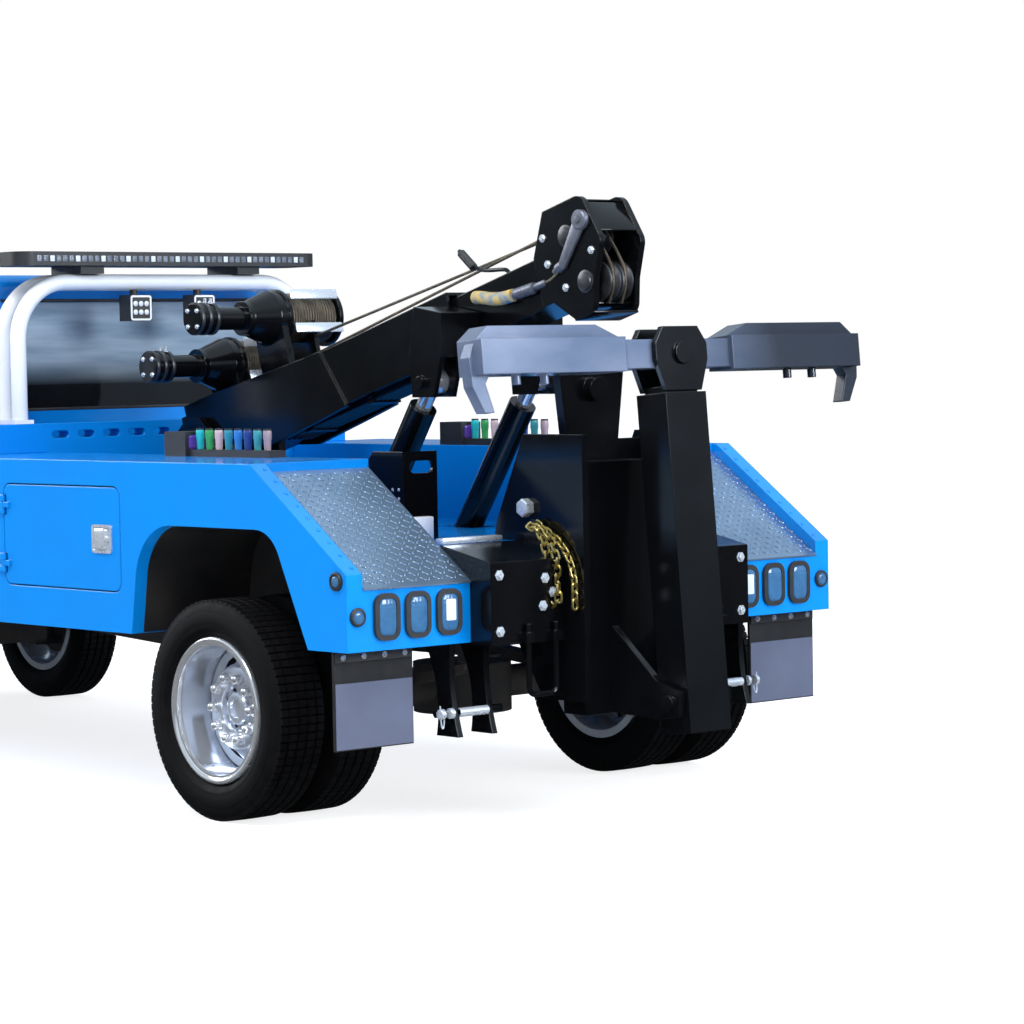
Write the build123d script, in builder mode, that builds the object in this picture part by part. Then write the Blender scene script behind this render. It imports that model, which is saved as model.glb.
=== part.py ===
"""Light wrecker: two-door cab, blue service body, telescopic recovery boom and a folding wheel lift.

Frame: +X forward, +Y left, +Z up, ground at z = 0, origin below the middle of the length.
"""
import os
from math import cos, radians, sin

from build123d import *

os.makedirs("parts", exist_ok=True)

# Frame of reference: every station is given ahead of the rear axle and shifted by this.
REAR_AXLE = -1945.0
WHEELBASE = 4290.0
FRONT_AXLE = REAR_AXLE + WHEELBASE
SEAT = 0.3            # gap left between pieces that bear on each other
RUN = 0.05            # radial play of a pin in its bore

# Tyres and wheels (225/70 R19.5)
TYRE_R = 405.0
TYRE_W = 226.0
BEAD_R = 251.0
FLANGE_R = 268.0
BARREL_R = 238.0
RIM_W = 190.0
RIM_T = 11.0
DISC_T = 12.0
WHEEL_OFFSET = 142.0
REAR_MOUNT_Y = 940.0
FRONT_MOUNT_Y = 1092.0
HUB_R = 84.0
HUB_LONG = 96.0
LUG_COUNT = 10
LUG_PCD_R = 112.5
LUG_R = 16.0
LUG_LONG = 34.0
HAND_HOLES = 8
HAND_HOLE_R = 24.0
HAND_HOLE_PCD_R = 203.0

# Door hinges
HINGE_R = 11.0
HINGE_PIN_R = 6.0
HINGE_HIGH = 24.0
HINGE_LEAF = 46.0
HINGE_PLAY = 0.03

# Ladder frame
RAIL_Y = 430.0
RAIL_LOW = 580.0
RAIL_HIGH = 790.0
RAIL_FLANGE = 75.0
RAIL_T = 9.0
RAIL_BACK = REAR_AXLE - 640.0
RAIL_FRONT = REAR_AXLE + 5070.0
CROSS_LONG = 90.0
CROSS_HIGH = 110.0
CROSS_STATIONS = (-560.0, -230.0, 1150.0, 2150.0, 3050.0, 4860.0)

# Axles
AXLE_TUBE_R = 62.0
DRUM_R = 160.0
DRUM_IN_Y = 730.0
DIFF_R = 190.0
BEAM_HIGH = 100.0
BEAM_LONG = 96.0
BEAM_Z = 370.0
KINGPIN_Y = 880.0
KINGPIN_R = 20.0
KNUCKLE_R = 45.0
KNUCKLE_LOW = 300.0
KNUCKLE_HIGH = 510.0
EAR_T = 30.0
SPINDLE_R = 52.0
BRAKE_R = 182.0
SPRING_T = 46.0
SPRING_W = 76.0
SPRING_LIFT = 95.0
SPRING_HALF = 610.0
REAR_SPRING_Z = TYRE_R + AXLE_TUBE_R - SPRING_T / 2
FRONT_SPRING_Z = BEAM_Z + BEAM_HIGH / 2 - SPRING_T / 2
HANGER_LONG = 70.0

# Power train
ENGINE_BACK = REAR_AXLE + 3860.0
ENGINE_FRONT = REAR_AXLE + 4640.0
ENGINE_W = 580.0
ENGINE_LOW = 545.0
ENGINE_HIGH = 1110.0
GEARBOX_BACK = REAR_AXLE + 3170.0
GEARBOX_W = 330.0
ENGINE_MOUNT = 90.0
GEARBOX_HIGH = 560.0
SHAFT_R = 45.0
TANK_BACK = REAR_AXLE + 1250.0
TANK_LONG = 900.0
TANK_W = 205.0
TANK_HIGH = 240.0

# Cab
CAB_BACK = REAR_AXLE + 2150.0
CAB_FRONT = REAR_AXLE + 3725.0
CAB_LOW = 610.0
CAB_FLOOR = 870.0
CAB_UNDER = RAIL_HIGH + SEAT
CAB_BELT = 1400.0
CAB_TOP = 2050.0
CAB_HALF = 985.0
CAB_TOP_HALF = 770.0
CAB_WALL = 70.0
CAB_ROUND = 55.0
UNDER_HALF = CAB_HALF - 295.0
SCREEN_TOP_X = REAR_AXLE + 2990.0
GLASS_IN = 22.0
GLASS_T = 8.0
DOOR_BACK = REAR_AXLE + 2470.0
DOOR_FRONT = REAR_AXLE + 3560.0
DOOR_LOW = 650.0
DOOR_TOP = 1965.0
DOOR_GAP = 6.0
DOOR_SPARE = 78.0
WINDOW_EDGE = 75.0
REAR_GLASS_LOW = 1480.0
REAR_GLASS_HIGH = 1940.0
REAR_GLASS_HALF = CAB_TOP_HALF - 120.0
CAB_LEAN = 45.0
SCUTTLE_DROP = 10.0
SILL_TUCK = 25.0
BELT_TUCK = 20.0
CAB_MIDDLE = (CAB_LOW + CAB_BELT) / 2
DOOR_DROP = 20.0
DOOR_NOSE = 20.0
DOOR_LEAN = 15.0
WINDOW_LIFT = 20.0
WINDOW_LEAN = 10.0
SCREEN_LOW_HALF = CAB_HALF - 185.0
SCREEN_HIGH_HALF = CAB_TOP_HALF - 130.0
SCREEN_LOW = CAB_BELT + 60.0
SCREEN_HIGH = CAB_TOP - 105.0
SCREEN_FACE = ((-SCREEN_LOW_HALF, SCREEN_LOW), (SCREEN_LOW_HALF, SCREEN_LOW),
               (SCREEN_HIGH_HALF, SCREEN_HIGH), (-SCREEN_HIGH_HALF, SCREEN_HIGH))

DOOR_HINGE_X = DOOR_FRONT - DOOR_GAP / 2
DOOR_HINGE_Y = CAB_HALF + 4.0
DOOR_HINGE_ROOT = CAB_HALF - 30.0
DOOR_HINGE_Z = (860.0, 1240.0)

# Mirrors
MIRROR_X = DOOR_FRONT - 140.0
MIRROR_AHEAD = 45.0
MIRROR_BEHIND = 35.0
MIRROR_LOW = CAB_BELT - 20.0
MIRROR_HIGH = 330.0
MIRROR_ROUND = 26.0
MIRROR_IN_Y = CAB_HALF + 70.0
MIRROR_OUT_Y = CAB_HALF + 250.0
MIRROR_ARMS = (-70.0, -20.0)
MIRROR_ARM_R = 13.0
MIRROR_ARM_RISE = 70.0
MIRROR_ARM_ROOT = CAB_HALF - 40.0
MIRROR_ARM_Y = CAB_HALF + 100.0

# Cab inside
DASH_HALF = CAB_HALF - 125.0
DASH_LOW = 1060.0
DASH_TOP = 1350.0
DASH_BROW = 1290.0
DASH_BACK = CAB_FRONT - CAB_WALL - SEAT
DASH_TOP_X = CAB_FRONT - 260.0
DASH_BROW_X = CAB_FRONT - 400.0
DASH_FOOT_X = CAB_FRONT - 380.0
COLUMN_X = CAB_FRONT - 390.0
COLUMN_Z = 1190.0
COLUMN_R = 28.0
STEER_X = CAB_FRONT - 620.0
STEER_Y = 380.0
STEER_Z = 1290.0
STEER_R = 215.0
STEER_RIM = 27.0
STEER_SPOKE = 400.0
STEER_SPOKE_W = 34.0
STEER_HUB_R = 55.0
STEER_T = 24.0
STEER_WAY = (-0.92, 0, 0.4)
BENCH_HALF = (CAB_HALF + CAB_TOP_HALF) / 2 - 107.5
BENCH_ROUND = 18.0
BENCH_SIDE = ((CAB_BACK + 110, CAB_FLOOR + SEAT), (CAB_BACK + 620, CAB_FLOOR + SEAT),
              (CAB_BACK + 700, 1130),
              (CAB_BACK + 660, 1180), (CAB_BACK + 260, 1150), (CAB_BACK + 160, 1690),
              (CAB_BACK + 110, 1690), (CAB_BACK + 85, 1150))

# Nose
NOSE_BACK = CAB_FRONT + SEAT
NOSE_FRONT = REAR_AXLE + 5110.0
NOSE_LOW = 640.0
NOSE_HALF = CAB_HALF + 20.0
NOSE_TOP_BACK = 1340.0
NOSE_TOP_FRONT = 1215.0
NOSE_WALL = 24.0
NOSE_ROUND = 70.0
NOSE_SPARE = 50.0
BROW_LONG = 220.0
FACE_LONG = 40.0
FACE_TOP_DROP = 60.0
FACE_DROP = 200.0
SHOULDER_Z = 1080.0
SHOULDER_IN = 120.0
CROWN_RISE = 20.0
FRONT_ARCH_R = 476.0
HOOD_HALF = NOSE_HALF - 205.0
HOOD_LOW = 1125.0
HOOD_BACK_GAP = 10.0
HOOD_PIN_R = 8.0
HOOD_PIN_X = NOSE_BACK + 23.0
HOOD_PIN_Z = 1325.0
HOOD_PIN_LONG = 46.0
HOOD_CUT = ((HOOD_HALF, HOOD_LOW), (HOOD_HALF, CAB_TOP), (-HOOD_HALF, CAB_TOP), (-HOOD_HALF, HOOD_LOW))
GRILLE_HALF = NOSE_HALF - 405.0
GRILLE_LOW = 745.0
GRILLE_HIGH = 1100.0
GRILLE_BARS = 5
GRILLE_BAR = 30.0
GRILLE_SUNK = 4.0
GRILLE_CUT = 400.0
LAMP_IN_Y = NOSE_HALF - 365.0
LAMP_OUT_Y = NOSE_HALF - 75.0
LAMP_LOW = 900.0
LAMP_HIGH = 1095.0
LAMP_SUNK = 3.0
LAMP_CUT = 200.0
BUMPER_FRONT = REAR_AXLE + 5260.0
BUMPER_BACK = REAR_AXLE + 5124.0
BUMPER_LOW = 470.0
BUMPER_HIGH = 720.0
BUMPER_HALF = NOSE_HALF + 5.0
BUMPER_T = 14.0
BUMPER_SWEEP = 60.0
BUMPER_TURN = 190.0
BUMPER_HOLD = 0.8

# Service body
BODY_HALF = 1198.0
BODY_IN_Y = 640.0
BODY_FRONT = REAR_AXLE + 1960.0
BODY_BACK = REAR_AXLE - 812.0
BODY_LOW = 660.0
BODY_TOP = 1305.0
SLOPE_FRONT = REAR_AXLE - 269.0
SLOPE_LOW_Z = 930.0
BODY_WALL = 30.0
BODY_SIDE = ((BODY_FRONT, BODY_LOW), (BODY_FRONT, BODY_TOP), (SLOPE_FRONT, BODY_TOP),
             (BODY_BACK, SLOPE_LOW_Z),
             (BODY_BACK, BODY_LOW))
SLOPE = (BODY_TOP - SLOPE_LOW_Z) / (SLOPE_FRONT - BODY_BACK)
LIP_Y = BODY_HALF - 72.0
TREAD_DROP = 46.0
TREAD_T = 6.0
TREAD_LEAD = 20.0
TREAD_FRONT = SLOPE_FRONT + TREAD_LEAD
TREAD_BACK = BODY_BACK - 8.0
TREAD_HIGH_Z = BODY_TOP - TREAD_DROP + TREAD_LEAD * SLOPE
TREAD_LOW_Z = TREAD_HIGH_Z - (TREAD_FRONT - TREAD_BACK) * SLOPE
ARCH_BACK = REAR_AXLE - 590.0
ARCH_FRONT = REAR_AXLE + 487.0
ARCH_TOP = 1072.0
ARCH_LEAN_BACK = 202.0
ARCH_LEAN_FRONT = 62.0
ARCH_ROUND_BACK = 150.0
ARCH_ROUND_FRONT = 230.0
WELL_WALL = 22.0
WELL_IN_Y = BODY_IN_Y + WELL_WALL + SEAT
LINER_T = 4.0
LINER_OUT_Y = BODY_HALF - 52.0
BOX_BACK = REAR_AXLE + 547.0
BOX_FRONT = REAR_AXLE + 1353.0
BOX_LOW = 811.0
BOX_HIGH = 1210.0
BOX_ROUND = 45.0
BOX_GAP = 5.0
BOX_HINGE_X = BOX_FRONT - BOX_GAP / 2
BOX_HINGE_Y = BODY_HALF + 4.0
BOX_HINGE_ROOT = BODY_HALF - 20.0
BOX_HINGE_Z = (BOX_LOW + 85.0, BOX_HIGH - 85.0)

# Rear lamps and flaps
LAMP_Z = 776.0
LAMP_FIRST_Y = BODY_IN_Y + 104.0
LAMP_LAST_Y = BODY_HALF - 173.0
LAMP_Y = (LAMP_FIRST_Y, (LAMP_FIRST_Y + LAMP_LAST_Y) / 2, LAMP_LAST_Y)
LAMP_W = 104.0
LAMP_H = 156.0
LAMP_ROUND = 36.0
LAMP_DEEP = 14.0
LAMP_PROUD = 10.0
ROUND_LAMP_Y = BODY_HALF - 46.0
ROUND_LAMP_Z = 782.0
ROUND_LAMP_R = 27.0
FLAP_X = REAR_AXLE - 716.0
FLAP_IN_Y = BODY_IN_Y + 202.0
FLAP_OUT_Y = BODY_HALF - 6.0
FLAP_LOW = 312.0
FLAP_T = 12.0

# Deck, headboard and controls
DECK_TOP = 1000.0
DECK_T = 40.0
DECK_BACK = REAR_AXLE - 650.0
SILL_IN_Y = 362.0
SILL_OUT_Y = 428.0
HEAD_BACK = REAR_AXLE + 1885.0
HEAD_TOP = 1425.0
HEAD_HALF = 930.0
HEAD_SLOTS = 10
HEAD_PITCH = 128.0
HEAD_SLOT_Z = 1378.0
HEAD_SLOT_LONG = 84.0
HEAD_SLOT_HIGH = 30.0
LEVER_BACK = REAR_AXLE + 284.0
LEVER_PITCH = 62.0
LEVER_COUNT = 8
LEVER_Y = 700.0
LEVER_R = 7.0
LEVER_HIGH = 78.0
KNOB_R = 15.0
LEVER_BASE = 26.0
CONSOLE_BACK = REAR_AXLE + 745.0
CONSOLE_FRONT = REAR_AXLE + 885.0
CONSOLE_HIGH = 95.0

# Light hoop
HOOP_X = REAR_AXLE + 1925.0
HOOP_PITCH = 120.0
HOOP_R = 33.0
HOOP_Y = 746.0
HOOP_TOP = 2012.0
HOOP_BEND = 240.0
BAR_X = HOOP_X + HOOP_PITCH / 2
BAR_HALF = 775.0
BAR_LONG = 270.0
BAR_HIGH = 58.0
BAR_FOOT_Y = 405.0
BAR_FOOT_HIGH = 34.0
WORK_LAMP = 110.0

# Boom
BOOM_X = REAR_AXLE + 1500.0
BOOM_Z = 1352.0
BOOM_ANGLE = 15.5
BOOM_SIZE = 240.0
BOOM_WALL = 12.0
BOOM_HEEL = 130.0
BOOM_LONG = 1680.0
JIB_SIZE = 188.0
JIB_WALL = 12.0
JIB_START = 640.0
JIB_END = 2235.0
PAD_LONG = 120.0
HEAD_START = 2190.0
HEAD_END = 2560.0
HEAD_LOW_W = -190.0
HEAD_HIGH_W = 244.0
HEAD_ROUND = 52.0
HEAD_PLATE = 18.0
SHEAVE_R = 92.0
SHEAVE_W = 60.0
SHEAVE_PIN_R = 24.0
BOOM_PIN_R = 38.0
STAND_PLATE = 32.0
STAND_GAP = 22.0
STAND_IN_Y = BOOM_SIZE / 2 + STAND_GAP
STAND_BACK = BOOM_X - 330.0
STAND_FRONT = BOOM_X + 200.0
STAND_NECK = 110.0
STAND_NECK_Z = BOOM_Z + 30.0
STAND_CROWN = 40.0
STAND_CROWN_Z = BOOM_Z + 85.0
HEEL_T = 14.0
HEEL_PLATE = ((REAR_AXLE + 1620, 1483), (REAR_AXLE + 1470, 1524), (REAR_AXLE + 690, 1700),
              (REAR_AXLE + 520, 1486),
              (REAR_AXLE + 720, 1420), (REAR_AXLE + 1030, 1322), (REAR_AXLE + 1240, 1318),
              (REAR_AXLE + 1590, 1405))
HOSE_R = 11.0
HOSE_Y = (-54.0, -27.0, 0.0, 27.0, 54.0)
HOSE_START = 480.0
HOSE_CLIPS = (620.0, 1040.0, 1460.0)
HOSE_SINK = 1.0
SHEAVES = ((2385.0, 118.0), (2440.0, -70.0))
HEAD_CHEEK = ((HEAD_START, -JIB_SIZE / 2), (HEAD_START, JIB_SIZE / 2), (HEAD_START + 95, HEAD_HIGH_W),
              (HEAD_END - 60, HEAD_HIGH_W), (HEAD_END, HEAD_HIGH_W - 190),
              (HEAD_END - 70, HEAD_LOW_W + 120),
              (HEAD_END - 110, HEAD_LOW_W), (HEAD_END - 210, HEAD_LOW_W),
              (HEAD_START + 60, -JIB_SIZE / 2))

# Winches: axis X and Z of each, then Y and radius from the drum's far flange to the motor's end
WINCHES = ((REAR_AXLE + 1450.0, 1652.0), (REAR_AXLE + 1130.0, 1842.0))
WINCH_PROFILE = ((-250.0, 0.0), (-250.0, 118.0), (-232.0, 118.0), (-232.0, 92.0), (8.0, 92.0),
                 (8.0, 118.0),
                 (26.0, 118.0), (26.0, 112.0), (62.0, 112.0), (165.0, 70.0), (188.0, 70.0), (188.0, 46.0),
                 (330.0, 46.0), (330.0, 62.0), (430.0, 62.0), (430.0, 0.0))
WINCH_FOOT_Y = BOOM_SIZE / 2 - BOOM_WALL / 2 - 2.0
WINCH_CHEEKS = ((-WINCH_FOOT_Y, 20.0 - WINCH_FOOT_Y), (30.0, 60.0))
WINCH_CHEEK_HALF = 95.0
WINCH_FOOT_HALF = 120.0

# Lift cylinders of the boom
RAM_Y = 250.0
RAM_BASE_X = REAR_AXLE + 380.0
RAM_BASE_Z = 800.0
RAM_EYE_X = REAR_AXLE - 165.0
RAM_EYE_Z = 1580.0
RAM_R = 54.0
RAM_ROD_R = 30.0
RAM_MOUTH = 835.0
RAM_NECK = 86.0
RAM_FLOOR = 125.0
RAM_EYE_R = 46.0
RAM_EYE_HALF = 36.0
RAM_PIN_R = 22.0
RAM_DRIFT = 48.0
EAR_FOOT = 60.0
EAR_DROP = 100.0
EAR_TOP = 42.0
EAR_RISE = 44.0
BEAM_HALF = 70.0
BEAM_LOW = 150.0
BEAM_TOP = 95.0
BRACKET_BACK = RAM_EYE_X - 110.0
BRACKET_FRONT = RAM_EYE_X + 78.0
BRACKET_TIP = RAM_EYE_X + 45.0
BRACKET_LEAN = 25.0
BRACKET_LOW = RAM_EYE_Z + RAM_EYE_R + RAM_DRIFT
BRACKET_EAR = 62.0
BRACKET_EAR_DROP = 58.0
BRACKET_EAR_RISE = 100.0
RAM_EAR = 20.0
RAM_SLOT_BACK = RAM_BASE_X - 250.0
RAM_SLOT_FRONT = RAM_BASE_X + 70.0
RAM_SLOT_HALF = RAM_R + 20.0
BRACKET_TOP = 1862.0

# Wheel lift
MAST_PLATE = 26.0
MAST_IN_Y = 264.0
MAST_BACK = REAR_AXLE - 1030.0
MAST_LOW = 430.0
MAST_TOP = 1388.0
MAST_NECK = REAR_AXLE - 712.0
MAST_KNEE = REAR_AXLE - 560.0
MAST_KNEE_Z = 1071.0
MAST_TOE = REAR_AXLE - 540.0
MAST_HEEL = REAR_AXLE - 800.0
TAIL_BACK = REAR_AXLE - 925.0
TAIL_LOW = 650.0
TAIL_TOP = 946.0
HOOK_R = 10.0
HOOK_X = TAIL_BACK - 15.0
HOOK_OUT_Y = 480.0
HOOK_IN_Y = 350.0
HOOK_LOW = 468.0
HOOK_HIGH = 722.0
WALL_BACK = REAR_AXLE - 770.0
WALL_T = 40.0
POST_LOW = 1340.0
POST_HIGH = 1665.0
POST_LOW_Y = 125.0
POST_HIGH_Y = 165.0
POST_BOSS_R = 44.0
POST_BOSS_Z = 1545.0
MAST_BOLT_R = 27.0
MAST_BOLT_X = REAR_AXLE - 734.0
MAST_BOLT_Z = 1121.0
CARRIAGE_FRONT = REAR_AXLE - 880.0
CARRIAGE_BACK = REAR_AXLE - 1000.0
CARRIAGE_LOW = 380.0
CARRIAGE_HIGH = 1290.0
FOLD_X = REAR_AXLE - 1285.0
FOLD_Z = 432.0
FOLD_LEAN = 5.0
FOLD_PIN_R = 32.0
FOLD_EAR = 28.0
FOLD_ROOT = CARRIAGE_BACK + 10.0
FOLD_SIDE = ((FOLD_ROOT, CARRIAGE_LOW), (FOLD_ROOT, CARRIAGE_LOW + 320), (FOLD_X + 60, FOLD_Z + 75),
             (FOLD_X - 55, FOLD_Z + 45), (FOLD_X - 55, FOLD_Z - 45), (FOLD_X + 40, FOLD_Z - 62))
STING_W = 200.0
STING_D = 150.0
STING_HEEL = 112.0
STING_LONG = 1100.0
INNER_W = 156.0
INNER_D = 108.0
INNER_START = 300.0
YOKE_LOW = STING_LONG + 6.0
YOKE_HIGH = YOKE_LOW + 229.0
YOKE_W = 252.0
YOKE_PLATE = 22.0
YOKE_WEB = 18.0
YOKE_NECK = YOKE_W * 0.34
YOKE_FLARE = 110.0
YOKE_SHOULDER = 60.0
BAR_MID = YOKE_LOW + 134.0
BAR_T = 96.0
BAR_H = 122.0
BAR_Y = 930.0
BAR_PIN_R = 40.0
CAP_HIGH = 46.0
CAP_IN = 110.0
CAP_OUT = 60.0
CORE_HALF = BAR_H * 0.42
SLEEVE_IN_Y = 262.0
SLEEVE_T = 16.0
STUDS = (200.0, 330.0)
STUD_LONG = 34.0
CLAW_LONG = 190.0
CLAW = ((-8.0, BAR_MID + BAR_H / 2), (26.0, BAR_MID), (18.0, BAR_MID - 100), (-30.0, BAR_MID - CLAW_LONG),
        (-72.0, BAR_MID - CLAW_LONG), (-40.0, BAR_MID - 90), (-60.0, BAR_MID - BAR_H / 2))

# Safety chain on the mast's left side: each link turns on by the angle in the table
LINK_R = 4.5
LINK_BEND = 11.0
LINK_LONG = 16.0
LINK_GAP = 0.6
LINK_PITCH = LINK_LONG + LINK_BEND * 2 - LINK_R * 2 - LINK_GAP
CHAIN_X = REAR_AXLE - 800.0
CHAIN_Y = MAST_IN_Y + MAST_PLATE + LINK_BEND + LINK_R + SEAT
CHAIN_Z = 1066.0
CHAIN_FALL = 27.0
CHAIN_TURNS = (0, 0, 0, 0, 8, 8, 8, 8, 8, 8, 8, 7, 0, 0)

# Racks for the lift arms, beside the mast on the deck
RACK_BACK = REAR_AXLE - 300.0
RACK_FRONT = REAR_AXLE - 70.0
RACK_IN_Y = 356.0
RACK_OUT_Y = 520.0
RACK_T = 14.0
RACK_HIGH = 1326.0
RACK_SLOT_LONG = 112.0
RACK_SLOT_HIGH = 46.0
RACK_SLOT_Z = 1268.0

# Chain brackets below the tail
HITCH_LOW = 330.0
HITCH_PLATE = 24.0
HITCH_IN_Y = BODY_IN_Y - 92.0
HITCH_OUT_Y = BODY_IN_Y + 68.0
HITCH_BACK = BODY_BACK + 7.0
HITCH_FRONT = HITCH_BACK + 140.0
HITCH_WAIST = 62.0
HITCH_TAPER = 58.0
HITCH_FLARE = 36.0
HITCH_PIN_X = HITCH_BACK + 15.0
HITCH_PIN_Z = 415.0
HITCH_PIN_R = 14.0
HITCH_STUB = 60.0


def x_plane(x):
    """Sketch plane across the truck: sketch x is Y, sketch y is Z, grows forward."""
    return Plane.YZ.offset(x)


def y_plane(y):
    """Sketch plane along the truck: sketch x is X, sketch y is Z, grows to the left."""
    return Plane(origin=(0, y, 0), x_dir=(-1, 0, 0), z_dir=(0, 1, 0))


def outline(points):
    """Closed face from (X, Z) corners, on a y_plane."""
    with BuildLine() as edge:
        Polyline(*[(-x, z) for x, z in points], close=True)
    make_face(edge.edges())


def across(points):
    """Closed face from (Y, Z) corners, on an x_plane."""
    with BuildLine() as edge:
        Polyline(*points, close=True)
    make_face(edge.edges())


def block(x_low, x_high, y_low, y_high, z_low, z_high, mode=Mode.ADD):
    """Upright block between two corners."""
    with BuildSketch(Plane.XY.offset(z_low)) as plan:
        with Locations(((x_low + x_high) / 2, (y_low + y_high) / 2)):
            Rectangle(abs(x_high - x_low), abs(y_high - y_low))
    extrude(plan.sketch, amount=z_high - z_low, mode=mode)


def rod(start, end, radius, mode=Mode.ADD):
    """Round bar between two points."""
    way = Vector(*end) - Vector(*start)
    with BuildSketch(Plane(origin=start, z_dir=way)) as disc:
        Circle(radius)
    extrude(disc.sketch, amount=way.length, mode=mode)


def plate(points, y_low, y_high, mode=Mode.ADD):
    """Flat plate of an (X, Z) outline between two Y values."""
    with BuildSketch(y_plane(y_low)) as face:
        outline(points)
    extrude(face.sketch, amount=y_high - y_low, mode=mode)


def hinge_leaf(pin_x, pin_y, z, side, forward, root_y):
    """Knuckle and leaf of a hinge: the fixed half has two knuckles ahead, the swinging half one behind."""
    rows = ((-1.5, -0.5), (0.5, 1.5)) if forward else ((-0.5 + HINGE_PLAY, 0.5 - HINGE_PLAY),)
    way = 1 if forward else -1
    for low, high in rows:
        rod((pin_x, side * pin_y, z + low * HINGE_HIGH), (pin_x, side * pin_y, z + high * HINGE_HIGH),
            HINGE_R)
        block(*sorted((pin_x, pin_x + way * HINGE_LEAF)),
              *sorted((side * root_y, side * (pin_y + HINGE_R / 2))),
              z + low * HINGE_HIGH, z + high * HINGE_HIGH)


def hinge_pin(pin_x, pin_y, z, side, play, mode=Mode.ADD):
    """Pin through a hinge, or its bore with play."""
    rod((pin_x, side * pin_y, z - HINGE_HIGH * 1.5), (pin_x, side * pin_y, z + HINGE_HIGH * 1.5),
        HINGE_PIN_R + play, mode=mode)


# Ladder frame
with BuildPart() as frame_rails:
    for side in (1, -1):
        web = sorted((side * RAIL_Y, side * (RAIL_Y - RAIL_T)))
        flange = sorted((side * RAIL_Y, side * (RAIL_Y - RAIL_FLANGE)))
        block(RAIL_BACK, RAIL_FRONT, *web, RAIL_LOW, RAIL_HIGH)
        block(RAIL_BACK, RAIL_FRONT, *flange, RAIL_LOW, RAIL_LOW + RAIL_T)
        block(RAIL_BACK, RAIL_FRONT, *flange, RAIL_HIGH - RAIL_T, RAIL_HIGH)
    for station in CROSS_STATIONS:
        middle = REAR_AXLE + station
        block(middle - CROSS_LONG / 2, middle + CROSS_LONG / 2, -RAIL_Y, RAIL_Y,
              RAIL_HIGH - RAIL_T - CROSS_HIGH, RAIL_HIGH - RAIL_T)
    for axle_x, seat_z in ((REAR_AXLE, REAR_SPRING_Z), (FRONT_AXLE, FRONT_SPRING_Z)):
        for end_x in (axle_x - SPRING_HALF, axle_x + SPRING_HALF):
            for side in (1, -1):
                block(end_x - HANGER_LONG / 2, end_x + HANGER_LONG / 2,
                      *sorted((side * (RAIL_Y - RAIL_T), side * (RAIL_Y + SPRING_W))),
                      seat_z + SPRING_LIFT + SPRING_T / 2 + SEAT, RAIL_LOW + HANGER_LONG)
frame_rails.part.label = "frame rails"
export_step(frame_rails.part, "parts/frame_rails.step")


def spring_pack(axle_x, y_low, seat_z, half_long):
    """Bowed leaf pack lying on an axle, its ends up at the frame rails."""
    with BuildSketch(y_plane(y_low)) as bow:
        with BuildLine():
            ThreePointArc((-axle_x - half_long, seat_z + SPRING_LIFT), (-axle_x, seat_z),
                          (-axle_x + half_long, seat_z + SPRING_LIFT))
            Line((-axle_x + half_long, seat_z + SPRING_LIFT),
                 (-axle_x + half_long, seat_z + SPRING_LIFT + SPRING_T / 2))
            ThreePointArc((-axle_x + half_long, seat_z + SPRING_LIFT + SPRING_T / 2),
                          (-axle_x, seat_z + SPRING_T),
                          (-axle_x - half_long, seat_z + SPRING_LIFT + SPRING_T / 2))
            Line((-axle_x - half_long, seat_z + SPRING_LIFT + SPRING_T / 2),
                 (-axle_x - half_long, seat_z + SPRING_LIFT))
        make_face()
    extrude(bow.sketch, amount=SPRING_W)


# Rear axle with drums and leaf packs
with BuildPart() as rear_axle:
    rod((REAR_AXLE, -REAR_MOUNT_Y + DISC_T + SEAT, TYRE_R),
        (REAR_AXLE, REAR_MOUNT_Y - DISC_T - SEAT, TYRE_R), AXLE_TUBE_R)
    for side in (1, -1):
        rod((REAR_AXLE, side * DRUM_IN_Y, TYRE_R),
            (REAR_AXLE, side * (REAR_MOUNT_Y - DISC_T - SEAT), TYRE_R), DRUM_R)
        spring_pack(REAR_AXLE, side * (RAIL_Y + SEAT + SPRING_W / 2) - SPRING_W / 2,
                    REAR_SPRING_Z, SPRING_HALF)
    with BuildSketch(Plane.XY.offset(TYRE_R)) as bulge:
        with Locations((REAR_AXLE, 0)):
            Circle(DIFF_R)
    extrude(bulge.sketch, amount=DIFF_R / 2, both=True)
rear_axle.part.label = "rear axle and springs"
export_step(rear_axle.part, "parts/rear_axle.step")

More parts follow.
